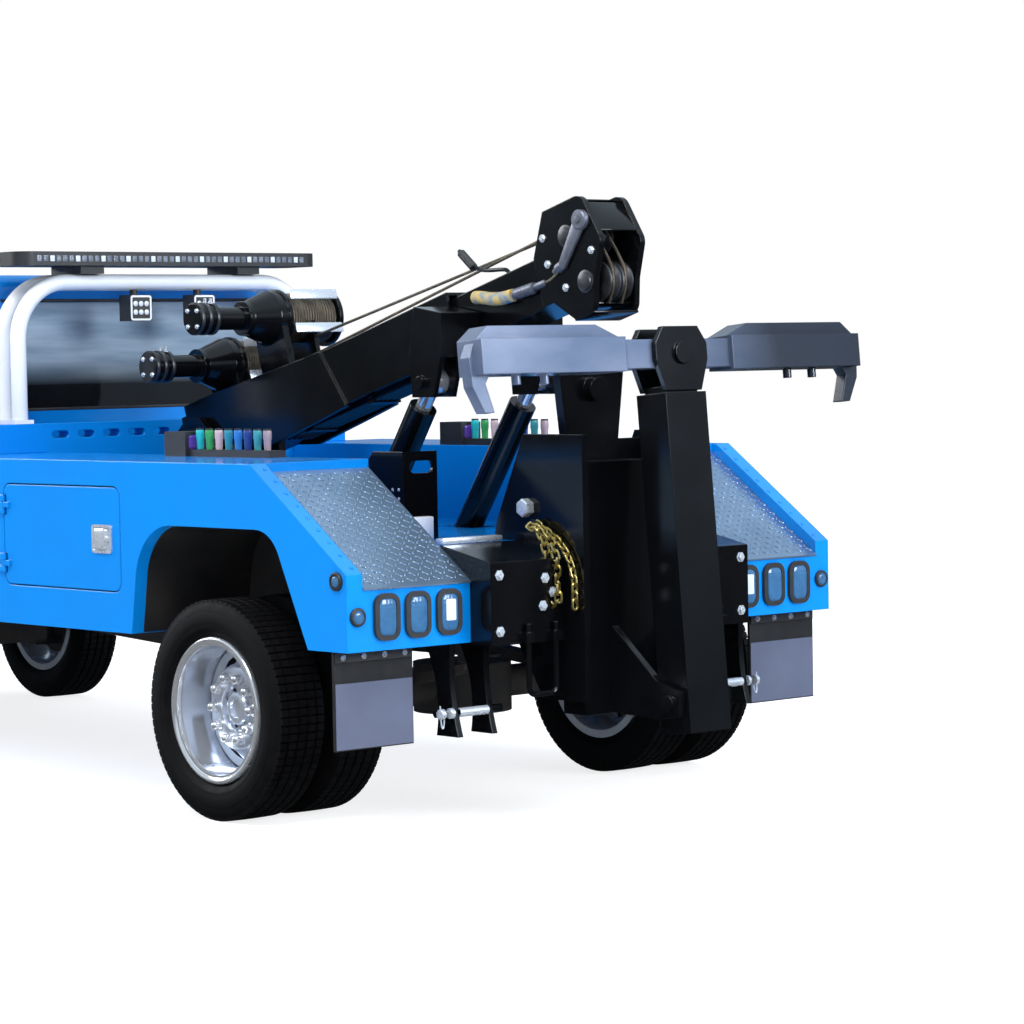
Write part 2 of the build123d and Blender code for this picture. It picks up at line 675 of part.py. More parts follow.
# Front axle beam with forked ends and leaf packs
with BuildPart() as front_axle:
    beam_half = KINGPIN_Y - KNUCKLE_R - EAR_T / 3
    block(FRONT_AXLE - BEAM_LONG / 2, FRONT_AXLE + BEAM_LONG / 2, -beam_half, beam_half,
          BEAM_Z - BEAM_HIGH / 2, BEAM_Z + BEAM_HIGH / 2)
    for side in (1, -1):
        web = sorted((side * beam_half, side * (beam_half - EAR_T)))
        ear = sorted((side * beam_half, side * (KINGPIN_Y + KNUCKLE_R)))
        block(FRONT_AXLE - BEAM_LONG / 2, FRONT_AXLE + BEAM_LONG / 2, *web,
              KNUCKLE_LOW - SEAT - EAR_T, KNUCKLE_HIGH + SEAT + EAR_T)
        block(FRONT_AXLE - BEAM_LONG / 2, FRONT_AXLE + BEAM_LONG / 2, *ear,
              KNUCKLE_LOW - SEAT - EAR_T, KNUCKLE_LOW - SEAT)
        block(FRONT_AXLE - BEAM_LONG / 2, FRONT_AXLE + BEAM_LONG / 2, *ear,
              KNUCKLE_HIGH + SEAT, KNUCKLE_HIGH + SEAT + EAR_T)
        rod((FRONT_AXLE, side * KINGPIN_Y, KNUCKLE_LOW - EAR_T * 2),
            (FRONT_AXLE, side * KINGPIN_Y, KNUCKLE_HIGH + EAR_T * 2), KINGPIN_R + RUN, mode=Mode.SUBTRACT)
        spring_pack(FRONT_AXLE, side * (RAIL_Y + SEAT + SPRING_W / 2) - SPRING_W / 2,
                    FRONT_SPRING_Z, SPRING_HALF)
front_axle.part.label = "front axle and springs"
export_step(front_axle.part, "parts/front_axle.step")

# Steering knuckles, each turning on its king pin
for name, side in (("left", 1), ("right", -1)):
    with BuildPart() as knuckle:
        rod((FRONT_AXLE, side * KINGPIN_Y, KNUCKLE_LOW), (FRONT_AXLE, side * KINGPIN_Y, KNUCKLE_HIGH),
            KNUCKLE_R)
        rod((FRONT_AXLE, side * KINGPIN_Y, KNUCKLE_LOW - EAR_T - SEAT),
            (FRONT_AXLE, side * KINGPIN_Y, KNUCKLE_HIGH + EAR_T + SEAT), KINGPIN_R)
        rod((FRONT_AXLE, side * KINGPIN_Y, TYRE_R),
            (FRONT_AXLE, side * (FRONT_MOUNT_Y - DISC_T - SEAT), TYRE_R), SPINDLE_R)
        rod((FRONT_AXLE, side * (FRONT_MOUNT_Y - WHEEL_OFFSET), TYRE_R),
            (FRONT_AXLE, side * (FRONT_MOUNT_Y - WHEEL_OFFSET + EAR_T), TYRE_R), BRAKE_R)
        rod((FRONT_AXLE, side * (FRONT_MOUNT_Y - DISC_T - SEAT - EAR_T), TYRE_R),
            (FRONT_AXLE, side * (FRONT_MOUNT_Y - DISC_T - SEAT), TYRE_R), LUG_PCD_R + LUG_R)
    knuckle.part.label = f"steering knuckle {name}"
    export_step(knuckle.part, f"parts/knuckle_{name}.step")


def tyre(axle_x, middle_y):
    """One tyre turned about its axle."""
    half = TYRE_W / 2
    with BuildSketch(x_plane(axle_x)) as section:
        with BuildLine():
            bead = RIM_W / 2 - RIM_T - SEAT
            low_in = (middle_y - bead, TYRE_R + BEAD_R)
            low_out = (middle_y + bead, TYRE_R + BEAD_R)
            bead_in = (middle_y - bead, TYRE_R + FLANGE_R + SEAT)
            bead_out = (middle_y + bead, TYRE_R + FLANGE_R + SEAT)
            edge_in = (middle_y - half * 0.87, TYRE_R * 1.958)
            edge_out = (middle_y + half * 0.87, TYRE_R * 1.958)
            Polyline(bead_out, low_out, low_in, bead_in)
            ThreePointArc(bead_in, (middle_y - half, TYRE_R * 1.80), edge_in)
            ThreePointArc(edge_in, (middle_y, TYRE_R * 2), edge_out)
            ThreePointArc(edge_out, (middle_y + half, TYRE_R * 1.80), bead_out)
        make_face()
    revolve(section.sketch, axis=Axis((axle_x, 0, TYRE_R), (0, 1, 0)))


def wheel(axle_x, mount_y, lean):
    """Rim barrel with a dished disc; lean is +1 or -1 as the tyre lies left or right of the disc."""
    middle_y = mount_y + lean * WHEEL_OFFSET
    near_y = middle_y - lean * RIM_W / 2
    far_y = middle_y + lean * RIM_W / 2
    disc_y = mount_y + lean * DISC_T
    turn = Axis((axle_x, 0, TYRE_R), (0, 1, 0))
    with BuildSketch(x_plane(axle_x)) as barrel:
        across([(near_y, TYRE_R + BARREL_R), (near_y, TYRE_R + FLANGE_R),
                (near_y + lean * RIM_T, TYRE_R + FLANGE_R),
                (near_y + lean * RIM_T, TYRE_R + BEAD_R - SEAT),
                (far_y - lean * RIM_T, TYRE_R + BEAD_R - SEAT), (far_y - lean * RIM_T, TYRE_R + FLANGE_R),
                (far_y, TYRE_R + FLANGE_R), (far_y, TYRE_R + BARREL_R)])
    revolve(barrel.sketch, axis=turn)
    with BuildSketch(x_plane(axle_x)) as dish:
        across([(mount_y, TYRE_R + HUB_R), (mount_y, TYRE_R + LUG_PCD_R * 1.45),
                (near_y, TYRE_R + BARREL_R + RIM_T / 2),
                (near_y + lean * DISC_T * 2, TYRE_R + BARREL_R + RIM_T / 2),
                (disc_y, TYRE_R + LUG_PCD_R * 1.45), (disc_y, TYRE_R + HUB_R)])
    revolve(dish.sketch, axis=turn)
    for step in range(HAND_HOLES):
        turn_by = radians(360 * (step + 0.5) / HAND_HOLES)
        spot = (axle_x + HAND_HOLE_PCD_R * cos(turn_by), TYRE_R + HAND_HOLE_PCD_R * sin(turn_by))
        rod((spot[0], mount_y - RIM_W, spot[1]), (spot[0], mount_y + RIM_W, spot[1]), HAND_HOLE_R,
            mode=Mode.SUBTRACT)


def hub_and_lugs(axle_x, face_y, side):
    """Hub cap and wheel nuts standing on the outer disc."""
    rod((axle_x, face_y - side * DISC_T, TYRE_R), (axle_x, face_y + side * HUB_LONG, TYRE_R), HUB_R)
    for step in range(LUG_COUNT):
        turn_by = radians(360 * step / LUG_COUNT)
        spot = (axle_x + LUG_PCD_R * cos(turn_by), TYRE_R + LUG_PCD_R * sin(turn_by))
        rod((spot[0], face_y - side * DISC_T / 2, spot[1]), (spot[0], face_y + side * LUG_LONG, spot[1]),
            LUG_R)


for name, side in (("left", 1), ("right", -1)):
    with BuildPart() as front_tyre:
        tyre(FRONT_AXLE, side * (FRONT_MOUNT_Y - WHEEL_OFFSET))
    front_tyre.part.label = f"front tyre {name}"
    export_step(front_tyre.part, f"parts/tyre_front_{name}.step")

    with BuildPart() as front_rim:
        wheel(FRONT_AXLE, side * FRONT_MOUNT_Y, -side)
        hub_and_lugs(FRONT_AXLE, side * FRONT_MOUNT_Y, side)
    front_rim.part.label = f"front rim {name}"
    export_step(front_rim.part, f"parts/rim_front_{name}.step")

    with BuildPart() as rear_tyres:
        tyre(REAR_AXLE, side * (REAR_MOUNT_Y - WHEEL_OFFSET))
        tyre(REAR_AXLE, side * (REAR_MOUNT_Y + WHEEL_OFFSET))
    rear_tyres.part.label = f"rear tyres {name}"
    export_step(rear_tyres.part, f"parts/tyres_rear_{name}.step")

    with BuildPart() as rear_rims:
        wheel(REAR_AXLE, side * REAR_MOUNT_Y, -side)
        wheel(REAR_AXLE, side * REAR_MOUNT_Y, side)
        hub_and_lugs(REAR_AXLE, side * (REAR_MOUNT_Y + DISC_T), side)
    rear_rims.part.label = f"rear rims {name}"
    export_step(rear_rims.part, f"parts/rims_rear_{name}.step")

# Engine, gearbox and propeller shaft
with BuildPart() as engine:
    block(ENGINE_BACK, ENGINE_FRONT, -ENGINE_W / 2, ENGINE_W / 2, ENGINE_LOW, ENGINE_HIGH)
    block(GEARBOX_BACK, ENGINE_BACK, -GEARBOX_W / 2, GEARBOX_W / 2, GEARBOX_HIGH - GEARBOX_W / 2,
          GEARBOX_HIGH + 110)
    block(ENGINE_FRONT - ENGINE_MOUNT * 3, ENGINE_FRONT - ENGINE_MOUNT * 2, SEAT - RAIL_Y + RAIL_T,
          RAIL_Y - RAIL_T - SEAT, RAIL_LOW + ENGINE_MOUNT / 2, RAIL_LOW + ENGINE_MOUNT * 1.5)
    rod((GEARBOX_BACK, 0, GEARBOX_HIGH), (REAR_AXLE + DIFF_R + SHAFT_R / 3, 0, TYRE_R), SHAFT_R)
engine.part.label = "engine, gearbox and shaft"
export_step(engine.part, "parts/engine.step")

with BuildPart() as fuel_tank:
    block(TANK_BACK, TANK_BACK + TANK_LONG, -RAIL_Y - SEAT - TANK_W, -RAIL_Y - SEAT,
          RAIL_LOW - TANK_HIGH / 3, RAIL_LOW + TANK_HIGH * 2 / 3)
    fillet(fuel_tank.edges().filter_by(Axis.X), TANK_HIGH / 5)
fuel_tank.part.label = "fuel tank"
export_step(fuel_tank.part, "parts/fuel_tank.step")


def cab_hull(inset):
    """Cab volume drawn in from its outer skin by an inset."""
    with BuildPart() as hull:
        with BuildSketch(y_plane(-BODY_HALF)) as side_view:
            outline([(CAB_BACK, CAB_LOW), (CAB_BACK, CAB_BELT), (CAB_BACK + CAB_LEAN, CAB_TOP),
                     (SCREEN_TOP_X, CAB_TOP), (CAB_FRONT, CAB_BELT - SCUTTLE_DROP), (CAB_FRONT, CAB_LOW)])
            if inset:
                offset(amount=-inset, kind=Kind.INTERSECTION, mode=Mode.REPLACE)
            fillet(side_view.vertices().group_by(Axis.Y)[-1], max(CAB_ROUND - inset, GLASS_T))
        extrude(side_view.sketch, amount=BODY_HALF * 2)
        with BuildSketch(x_plane(CAB_BACK - CAB_WALL)) as end_view:
            across([(CAB_HALF - SILL_TUCK, CAB_LOW), (CAB_HALF, CAB_MIDDLE),
                    (CAB_HALF - BELT_TUCK, CAB_BELT),
                    (CAB_TOP_HALF, CAB_TOP), (-CAB_TOP_HALF, CAB_TOP), (BELT_TUCK - CAB_HALF, CAB_BELT),
                    (-CAB_HALF, CAB_MIDDLE), (SILL_TUCK - CAB_HALF, CAB_LOW)])
            if inset:
                offset(amount=-inset, kind=Kind.INTERSECTION, mode=Mode.REPLACE)
            fillet(end_view.vertices().group_by(Axis.Y)[-1], max(CAB_ROUND * 1.6 - inset, GLASS_T))
        extrude(end_view.sketch, amount=CAB_FRONT - CAB_BACK + CAB_WALL * 2, mode=Mode.INTERSECT)
    return hull.part


def door_outline(trim):
    """Side outline of a cab door drawn in by a trim."""
    low, high = DOOR_LOW + trim, DOOR_TOP - trim
    return [(DOOR_BACK + trim, low), (DOOR_FRONT - trim, low), (DOOR_FRONT - trim, CAB_BELT - DOOR_DROP),
            (SCREEN_TOP_X + DOOR_NOSE - trim * 1.4, high), (DOOR_BACK + DOOR_LEAN + trim, high)]


def window_outline(trim):
    """Side outline of a door window drawn in by a trim."""
    low, high = CAB_BELT + WINDOW_LIFT + trim, DOOR_TOP - WINDOW_EDGE - trim
    rake = (DOOR_FRONT - SCREEN_TOP_X) / (DOOR_TOP - CAB_BELT)
    front = DOOR_FRONT - WINDOW_EDGE * 1.9 - trim * 1.6
    return [(DOOR_BACK + WINDOW_EDGE + trim, low), (front, low),
            (front - (high - low) * rake, high), (DOOR_BACK + WINDOW_EDGE + WINDOW_LEAN + trim, high)]


SKIN = cab_hull(0)

with BuildPart() as room:
    add(cab_hull(CAB_WALL))
    block(CAB_BACK, CAB_FRONT, -CAB_HALF, CAB_HALF, 0, CAB_FLOOR, mode=Mode.SUBTRACT)

with BuildPart() as pocket:
    add(SKIN)
    add(cab_hull(DOOR_SPARE), mode=Mode.SUBTRACT)
    block(CAB_BACK, CAB_FRONT, DOOR_SPARE + SILL_TUCK - CAB_HALF, CAB_HALF - SILL_TUCK - DOOR_SPARE, 0,
          CAB_FLOOR, mode=Mode.SUBTRACT)
    plate(door_outline(0), -BODY_HALF, BODY_HALF, mode=Mode.INTERSECT)

with BuildPart() as cab_shell:
    add(SKIN)
    add(room.part, mode=Mode.SUBTRACT)
    block(CAB_BACK - CAB_WALL, CAB_FRONT + CAB_WALL, -UNDER_HALF, UNDER_HALF, 0, CAB_UNDER,
          mode=Mode.SUBTRACT)
    add(pocket.part, mode=Mode.SUBTRACT)
    with BuildSketch(x_plane(SCREEN_TOP_X - CAB_WALL)) as screen_hole:
        across(SCREEN_FACE)
        fillet(screen_hole.vertices(), CAB_ROUND)
    extrude(screen_hole.sketch, amount=CAB_FRONT - SCREEN_TOP_X + CAB_WALL * 2, mode=Mode.SUBTRACT)
    with BuildSketch(x_plane(CAB_BACK - CAB_WALL)) as rear_hole:
        with Locations((0, (REAR_GLASS_LOW + REAR_GLASS_HIGH) / 2)):
            RectangleRounded(REAR_GLASS_HALF * 2, REAR_GLASS_HIGH - REAR_GLASS_LOW, CAB_ROUND)
    extrude(rear_hole.sketch, amount=CAB_WALL * 4, mode=Mode.SUBTRACT)
    for side in (1, -1):
        for hinge_z in DOOR_HINGE_Z:
            hinge_leaf(DOOR_HINGE_X, DOOR_HINGE_Y, hinge_z, side, True, DOOR_HINGE_ROOT)
            hinge_pin(DOOR_HINGE_X, DOOR_HINGE_Y, hinge_z, side, 0)
cab_shell.part.label = "cab shell"
export_step(cab_shell.part, "parts/cab_shell.step")

with BuildPart() as pane_skin:
    add(cab_hull(GLASS_IN))
    add(cab_hull(GLASS_IN + GLASS_T), mode=Mode.SUBTRACT)

with BuildPart() as screen:
    with BuildSketch(x_plane(SCREEN_TOP_X - CAB_WALL)) as screen_pane:
        across(SCREEN_FACE)
        fillet(screen_pane.vertices(), CAB_ROUND)
        offset(amount=-SEAT, mode=Mode.REPLACE)
    extrude(screen_pane.sketch, amount=CAB_FRONT - SCREEN_TOP_X + CAB_WALL * 2)
    add(pane_skin.part, mode=Mode.INTERSECT)

with BuildPart() as rear_light:
    with BuildSketch(x_plane(CAB_BACK - CAB_WALL)) as rear_pane:
        with Locations((0, (REAR_GLASS_LOW + REAR_GLASS_HIGH) / 2)):
            RectangleRounded((REAR_GLASS_HALF - SEAT) * 2, REAR_GLASS_HIGH - REAR_GLASS_LOW - SEAT * 2,
                             CAB_ROUND - SEAT)
    extrude(rear_pane.sketch, amount=CAB_WALL * 4)
    add(pane_skin.part, mode=Mode.INTERSECT)

with BuildPart() as cab_glass:
    add(screen.part)
    add(rear_light.part)
cab_glass.part.label = "cab glass"
export_step(cab_glass.part, "parts/cab_glass.step")

# Cab doors with their glass and mirrors
with BuildPart() as door_skin:
    add(SKIN)
    add(cab_hull(CAB_WALL), mode=Mode.SUBTRACT)
    block(CAB_BACK, CAB_FRONT, CAB_WALL + SILL_TUCK - CAB_HALF, CAB_HALF - SILL_TUCK - CAB_WALL, 0,
          CAB_FLOOR, mode=Mode.SUBTRACT)
    plate(door_outline(DOOR_GAP), -BODY_HALF, BODY_HALF, mode=Mode.INTERSECT)
    plate(window_outline(0), -BODY_HALF, BODY_HALF, mode=Mode.SUBTRACT)

with BuildPart() as window_skin:
    add(pane_skin.part)
    plate(window_outline(SEAT), -BODY_HALF, BODY_HALF, mode=Mode.INTERSECT)

MIRROR_TRIM = cab_hull(-SEAT)
for name, side in (("left", 1), ("right", -1)):
    near, far = sorted((side * CAB_TOP_HALF / 2, side * BODY_HALF))
    with BuildPart() as door:
        add(door_skin.part)
        block(CAB_BACK, CAB_FRONT, near, far, 0, CAB_TOP * 2, mode=Mode.INTERSECT)
        for hinge_z in DOOR_HINGE_Z:
            block(DOOR_HINGE_X - HINGE_R * 1.6, DOOR_FRONT,
                  *sorted((side * DOOR_HINGE_ROOT, side * BODY_HALF)),
                  hinge_z - HINGE_HIGH * 1.6, hinge_z + HINGE_HIGH * 1.6, mode=Mode.SUBTRACT)
            hinge_leaf(DOOR_HINGE_X, DOOR_HINGE_Y, hinge_z, side, False, DOOR_HINGE_ROOT)
            hinge_pin(DOOR_HINGE_X, DOOR_HINGE_Y, hinge_z, side, RUN, mode=Mode.SUBTRACT)
    door.part.label = f"cab door {name}"
    export_step(door.part, f"parts/door_{name}.step")

    with BuildPart() as door_glass:
        add(window_skin.part)
        block(CAB_BACK, CAB_FRONT, near, far, 0, CAB_TOP * 2, mode=Mode.INTERSECT)
    door_glass.part.label = f"door glass {name}"
    export_step(door_glass.part, f"parts/door_glass_{name}.step")

    with BuildPart() as mirror:
        block(MIRROR_X - MIRROR_BEHIND, MIRROR_X + MIRROR_AHEAD,
              *sorted((side * MIRROR_IN_Y, side * MIRROR_OUT_Y)), MIRROR_LOW, MIRROR_LOW + MIRROR_HIGH)
        fillet(mirror.edges().filter_by(Axis.X), MIRROR_ROUND)
        for rise in MIRROR_ARMS:
            arm_z = MIRROR_LOW + rise
            rod((MIRROR_X, side * MIRROR_ARM_ROOT, arm_z),
                (MIRROR_X, side * MIRROR_ARM_Y, arm_z + MIRROR_ARM_RISE), MIRROR_ARM_R)
        add(MIRROR_TRIM, mode=Mode.SUBTRACT)
    mirror.part.label = f"mirror {name}"
    export_step(mirror.part, f"parts/mirror_{name}.step")

# Cab inside
with BuildPart() as dashboard:
    plate([(DASH_BACK, DASH_LOW), (DASH_BACK, DASH_TOP), (DASH_TOP_X, DASH_TOP), (DASH_BROW_X, DASH_BROW),
           (DASH_FOOT_X, DASH_LOW)], -DASH_HALF, DASH_HALF)
    rod((COLUMN_X, STEER_Y, COLUMN_Z), (STEER_X, STEER_Y, STEER_Z), COLUMN_R)
    with BuildSketch(Plane(origin=(STEER_X, STEER_Y, STEER_Z), z_dir=STEER_WAY)) as wheel_rim:
        Circle(STEER_R)
        Circle(STEER_R - STEER_RIM, mode=Mode.SUBTRACT)
        Rectangle(STEER_SPOKE, STEER_SPOKE_W)
        Circle(STEER_HUB_R)
    extrude(wheel_rim.sketch, amount=STEER_T)
dashboard.part.label = "dashboard and steering wheel"
export_step(dashboard.part, "parts/dashboard.step")

with BuildPart() as bench_seat:
    plate(BENCH_SIDE, -BENCH_HALF, BENCH_HALF)
    fillet(bench_seat.edges().filter_by(Axis.Y), BENCH_ROUND)
bench_seat.part.label = "bench seat"
export_step(bench_seat.part, "parts/bench_seat.step")


def nose_hull(inset, spare):
    """Nose volume drawn in by an inset, left open below and behind by a spare length."""
    with BuildPart() as hull:
        with BuildSketch(y_plane(-BODY_HALF)) as side_view:
            outline([(NOSE_BACK - spare, NOSE_LOW - spare), (NOSE_BACK - spare, NOSE_TOP_BACK - inset),
                     (NOSE_FRONT - BROW_LONG, NOSE_TOP_FRONT - inset),
                     (NOSE_FRONT - FACE_LONG - inset, NOSE_TOP_FRONT - FACE_TOP_DROP - inset),
                     (NOSE_FRONT - inset, NOSE_TOP_FRONT - FACE_DROP),
                     (NOSE_FRONT - inset, NOSE_LOW - spare)])
        extrude(side_view.sketch, amount=BODY_HALF * 2)
        with BuildSketch(x_plane(NOSE_BACK - spare)) as end_view:
            half = NOSE_HALF - inset
            crown = NOSE_TOP_BACK + CROWN_RISE - inset
            across([(half, NOSE_LOW - spare), (half, SHOULDER_Z), (half - SHOULDER_IN, crown),
                    (SHOULDER_IN - half, crown), (-half, SHOULDER_Z), (-half, NOSE_LOW - spare)])
            fillet(end_view.vertices().group_by(Axis.Y)[-1], NOSE_ROUND)
        extrude(end_view.sketch, amount=NOSE_FRONT - NOSE_BACK + spare, mode=Mode.INTERSECT)
    return hull.part


with BuildPart() as nose_shell:
    add(nose_hull(0, 0))
    add(nose_hull(NOSE_WALL, NOSE_WALL * 2), mode=Mode.SUBTRACT)

with BuildPart() as hood:
    add(nose_shell.part)
    with BuildSketch(x_plane(NOSE_BACK + HOOD_BACK_GAP)) as lid_view:
        across(HOOD_CUT)
        offset(amount=-DOOR_GAP / 2, mode=Mode.REPLACE)
    extrude(lid_view.sketch, amount=NOSE_FRONT - NOSE_BACK + NOSE_WALL, mode=Mode.INTERSECT)
    for side in (1, -1):
        rod((HOOD_PIN_X, side * (HOOD_HALF - HOOD_PIN_LONG), HOOD_PIN_Z),
            (HOOD_PIN_X, side * HOOD_HALF * 2, HOOD_PIN_Z), HOOD_PIN_R + RUN, mode=Mode.SUBTRACT)
hood.part.label = "hood"
export_step(hood.part, "parts/hood.step")

with BuildPart() as front_fenders:
    add(nose_shell.part)
    with BuildSketch(x_plane(NOSE_BACK - NOSE_WALL)) as lid_hole:
        across(HOOD_CUT)
        offset(amount=DOOR_GAP / 2, mode=Mode.REPLACE)
    extrude(lid_hole.sketch, amount=NOSE_FRONT - NOSE_BACK + NOSE_WALL * 3, mode=Mode.SUBTRACT)
    rod((FRONT_AXLE, -BODY_HALF, TYRE_R), (FRONT_AXLE, BODY_HALF, TYRE_R), FRONT_ARCH_R,
        mode=Mode.SUBTRACT)
    block(NOSE_FRONT - GRILLE_CUT, NOSE_FRONT + NOSE_SPARE, -GRILLE_HALF, GRILLE_HALF, GRILLE_LOW,
          GRILLE_HIGH, mode=Mode.SUBTRACT)
    block(NOSE_FRONT - GRILLE_CUT, NOSE_FRONT + NOSE_SPARE, -GRILLE_HALF, GRILLE_HALF, 0,
          GRILLE_LOW - NOSE_WALL, mode=Mode.SUBTRACT)
    for side in (1, -1):
        block(NOSE_FRONT - LAMP_CUT, NOSE_FRONT + NOSE_SPARE,
              *sorted((side * LAMP_IN_Y, side * LAMP_OUT_Y)), LAMP_LOW, LAMP_HIGH,
              mode=Mode.SUBTRACT)
    for side in (1, -1):
        rod((HOOD_PIN_X, side * (HOOD_HALF - HOOD_PIN_LONG + SEAT), HOOD_PIN_Z),
            (HOOD_PIN_X, side * (HOOD_HALF + NOSE_WALL), HOOD_PIN_Z), HOOD_PIN_R)
front_fenders.part.label = "front fenders"
export_step(front_fenders.part, "parts/front_fenders.step")

with BuildPart() as grille:
    block(NOSE_FRONT - NOSE_WALL, NOSE_FRONT - GRILLE_SUNK, -GRILLE_HALF + SEAT, GRILLE_HALF - SEAT,
          GRILLE_LOW + SEAT, GRILLE_HIGH - SEAT)
    block(NOSE_FRONT - NOSE_WALL * 2, NOSE_FRONT + NOSE_WALL, -GRILLE_HALF + GRILLE_BAR,
          GRILLE_HALF - GRILLE_BAR,
          GRILLE_LOW + GRILLE_BAR, GRILLE_HIGH - GRILLE_BAR, mode=Mode.SUBTRACT)
    for step in range(GRILLE_BARS):
        bar_z = GRILLE_LOW + (GRILLE_HIGH - GRILLE_LOW) * (step + 1) / (GRILLE_BARS + 1)
        block(NOSE_FRONT - NOSE_WALL, NOSE_FRONT - GRILLE_SUNK, -GRILLE_HALF + SEAT, GRILLE_HALF - SEAT,
              bar_z - GRILLE_BAR / 2, bar_z + GRILLE_BAR / 2)
grille.part.label = "grille"
export_step(grille.part, "parts/grille.step")

with BuildPart() as headlamps:
    for side in (1, -1):
        block(NOSE_FRONT - NOSE_WALL * 3, NOSE_FRONT - LAMP_SUNK,
              *sorted((side * (LAMP_IN_Y + SEAT), side * (LAMP_OUT_Y - SEAT))), LAMP_LOW + SEAT,
              LAMP_HIGH - SEAT)
headlamps.part.label = "headlamps"
export_step(headlamps.part, "parts/headlamps.step")

with BuildPart() as front_bumper:
    with BuildSketch(Plane.XY.offset(BUMPER_LOW)) as plan:
        with BuildLine():
            Polyline((BUMPER_BACK, -BUMPER_HALF), (BUMPER_FRONT - BUMPER_SWEEP, -BUMPER_HALF),
                     (BUMPER_FRONT, -BUMPER_HALF + BUMPER_TURN),
                     (BUMPER_FRONT, BUMPER_HALF - BUMPER_TURN),
                     (BUMPER_FRONT - BUMPER_SWEEP, BUMPER_HALF), (BUMPER_BACK, BUMPER_HALF),
                     close=True)
        make_face()
        offset(plan.sketch, amount=-BUMPER_T, mode=Mode.SUBTRACT)
        with Locations((BUMPER_BACK, 0)):
            Rectangle(BUMPER_T * 3, (BUMPER_HALF - BUMPER_T) * 2, mode=Mode.SUBTRACT)
    extrude(plan.sketch, amount=BUMPER_HIGH - BUMPER_LOW)
    for side in (1, -1):
        block(RAIL_FRONT + SEAT, BUMPER_FRONT - BUMPER_T / 2,
              *sorted((side * (RAIL_Y - RAIL_FLANGE), side * RAIL_Y)),
              RAIL_LOW, RAIL_LOW + (BUMPER_HIGH - RAIL_LOW) * BUMPER_HOLD)
front_bumper.part.label = "front bumper"
export_step(front_bumper.part, "parts/front_bumper.step")

# Service body modules
def wheel_arch(y_low, y_high, inset, mode=Mode.ADD):
    """Wheel well between two Y values, drawn in by an inset: steep ahead, sloped behind."""
    with BuildSketch(y_plane(y_low)) as arch:
        outline([(ARCH_BACK, 0), (ARCH_BACK, BODY_LOW), (ARCH_BACK + ARCH_LEAN_BACK, ARCH_TOP),
                 (ARCH_FRONT - ARCH_LEAN_FRONT, ARCH_TOP), (ARCH_FRONT, BODY_LOW), (ARCH_FRONT, 0)])
        fillet(arch.vertices().group_by(Axis.Y)[-1].sort_by(Axis.X)[0], ARCH_ROUND_FRONT)
        fillet(arch.vertices().group_by(Axis.Y)[-1].sort_by(Axis.X)[-1], ARCH_ROUND_BACK)
        if inset:
            offset(amount=-inset, kind=Kind.INTERSECTION, mode=Mode.REPLACE)
    extrude(arch.sketch, amount=y_high - y_low, mode=mode)


with BuildPart() as body_half:
    plate(BODY_SIDE, BODY_IN_Y, BODY_HALF)
    block(ARCH_FRONT + BODY_WALL, BODY_FRONT - BODY_WALL, BODY_IN_Y + BODY_WALL, BODY_HALF - BODY_WALL,
          BODY_LOW + BODY_WALL, BODY_TOP - BODY_WALL, mode=Mode.SUBTRACT)
    wheel_arch(BODY_IN_Y + WELL_WALL, BODY_HALF * 2, 0, Mode.SUBTRACT)
    plate([(TREAD_FRONT, TREAD_HIGH_Z - TREAD_T), (TREAD_BACK, TREAD_LOW_Z - TREAD_T),
           (TREAD_BACK, BODY_TOP * 2), (TREAD_FRONT, BODY_TOP * 2)], 0, LIP_Y, mode=Mode.SUBTRACT)
    with BuildSketch(y_plane(BODY_HALF - BODY_WALL * 2)) as opening:
        with Locations((-(BOX_BACK + BOX_FRONT) / 2, (BOX_LOW + BOX_HIGH) / 2)):
            RectangleRounded(BOX_FRONT - BOX_BACK, BOX_HIGH - BOX_LOW, BOX_ROUND)
    extrude(opening.sketch, amount=BODY_WALL * 4, mode=Mode.SUBTRACT)
    for lamp_y in LAMP_Y:
        with BuildSketch(x_plane(BODY_BACK)) as seat:
            with Locations((lamp_y, LAMP_Z)):
                RectangleRounded(LAMP_W, LAMP_H, LAMP_ROUND)
        extrude(seat.sketch, amount=LAMP_DEEP, mode=Mode.SUBTRACT)
    rod((BODY_BACK, ROUND_LAMP_Y, ROUND_LAMP_Z), (BODY_BACK + LAMP_DEEP, ROUND_LAMP_Y, ROUND_LAMP_Z),
        ROUND_LAMP_R,
        mode=Mode.SUBTRACT)
    for hinge_z in BOX_HINGE_Z:
        block(BOX_FRONT - BOX_GAP, BOX_HINGE_X + HINGE_R + BOX_GAP, BOX_HINGE_ROOT,
              BODY_HALF + HINGE_LEAF,
              hinge_z - HINGE_HIGH / 2, hinge_z + HINGE_HIGH / 2, mode=Mode.SUBTRACT)
        hinge_leaf(BOX_HINGE_X, BOX_HINGE_Y, hinge_z, 1, True, BOX_HINGE_ROOT)
        hinge_pin(BOX_HINGE_X, BOX_HINGE_Y, hinge_z, 1, 0)

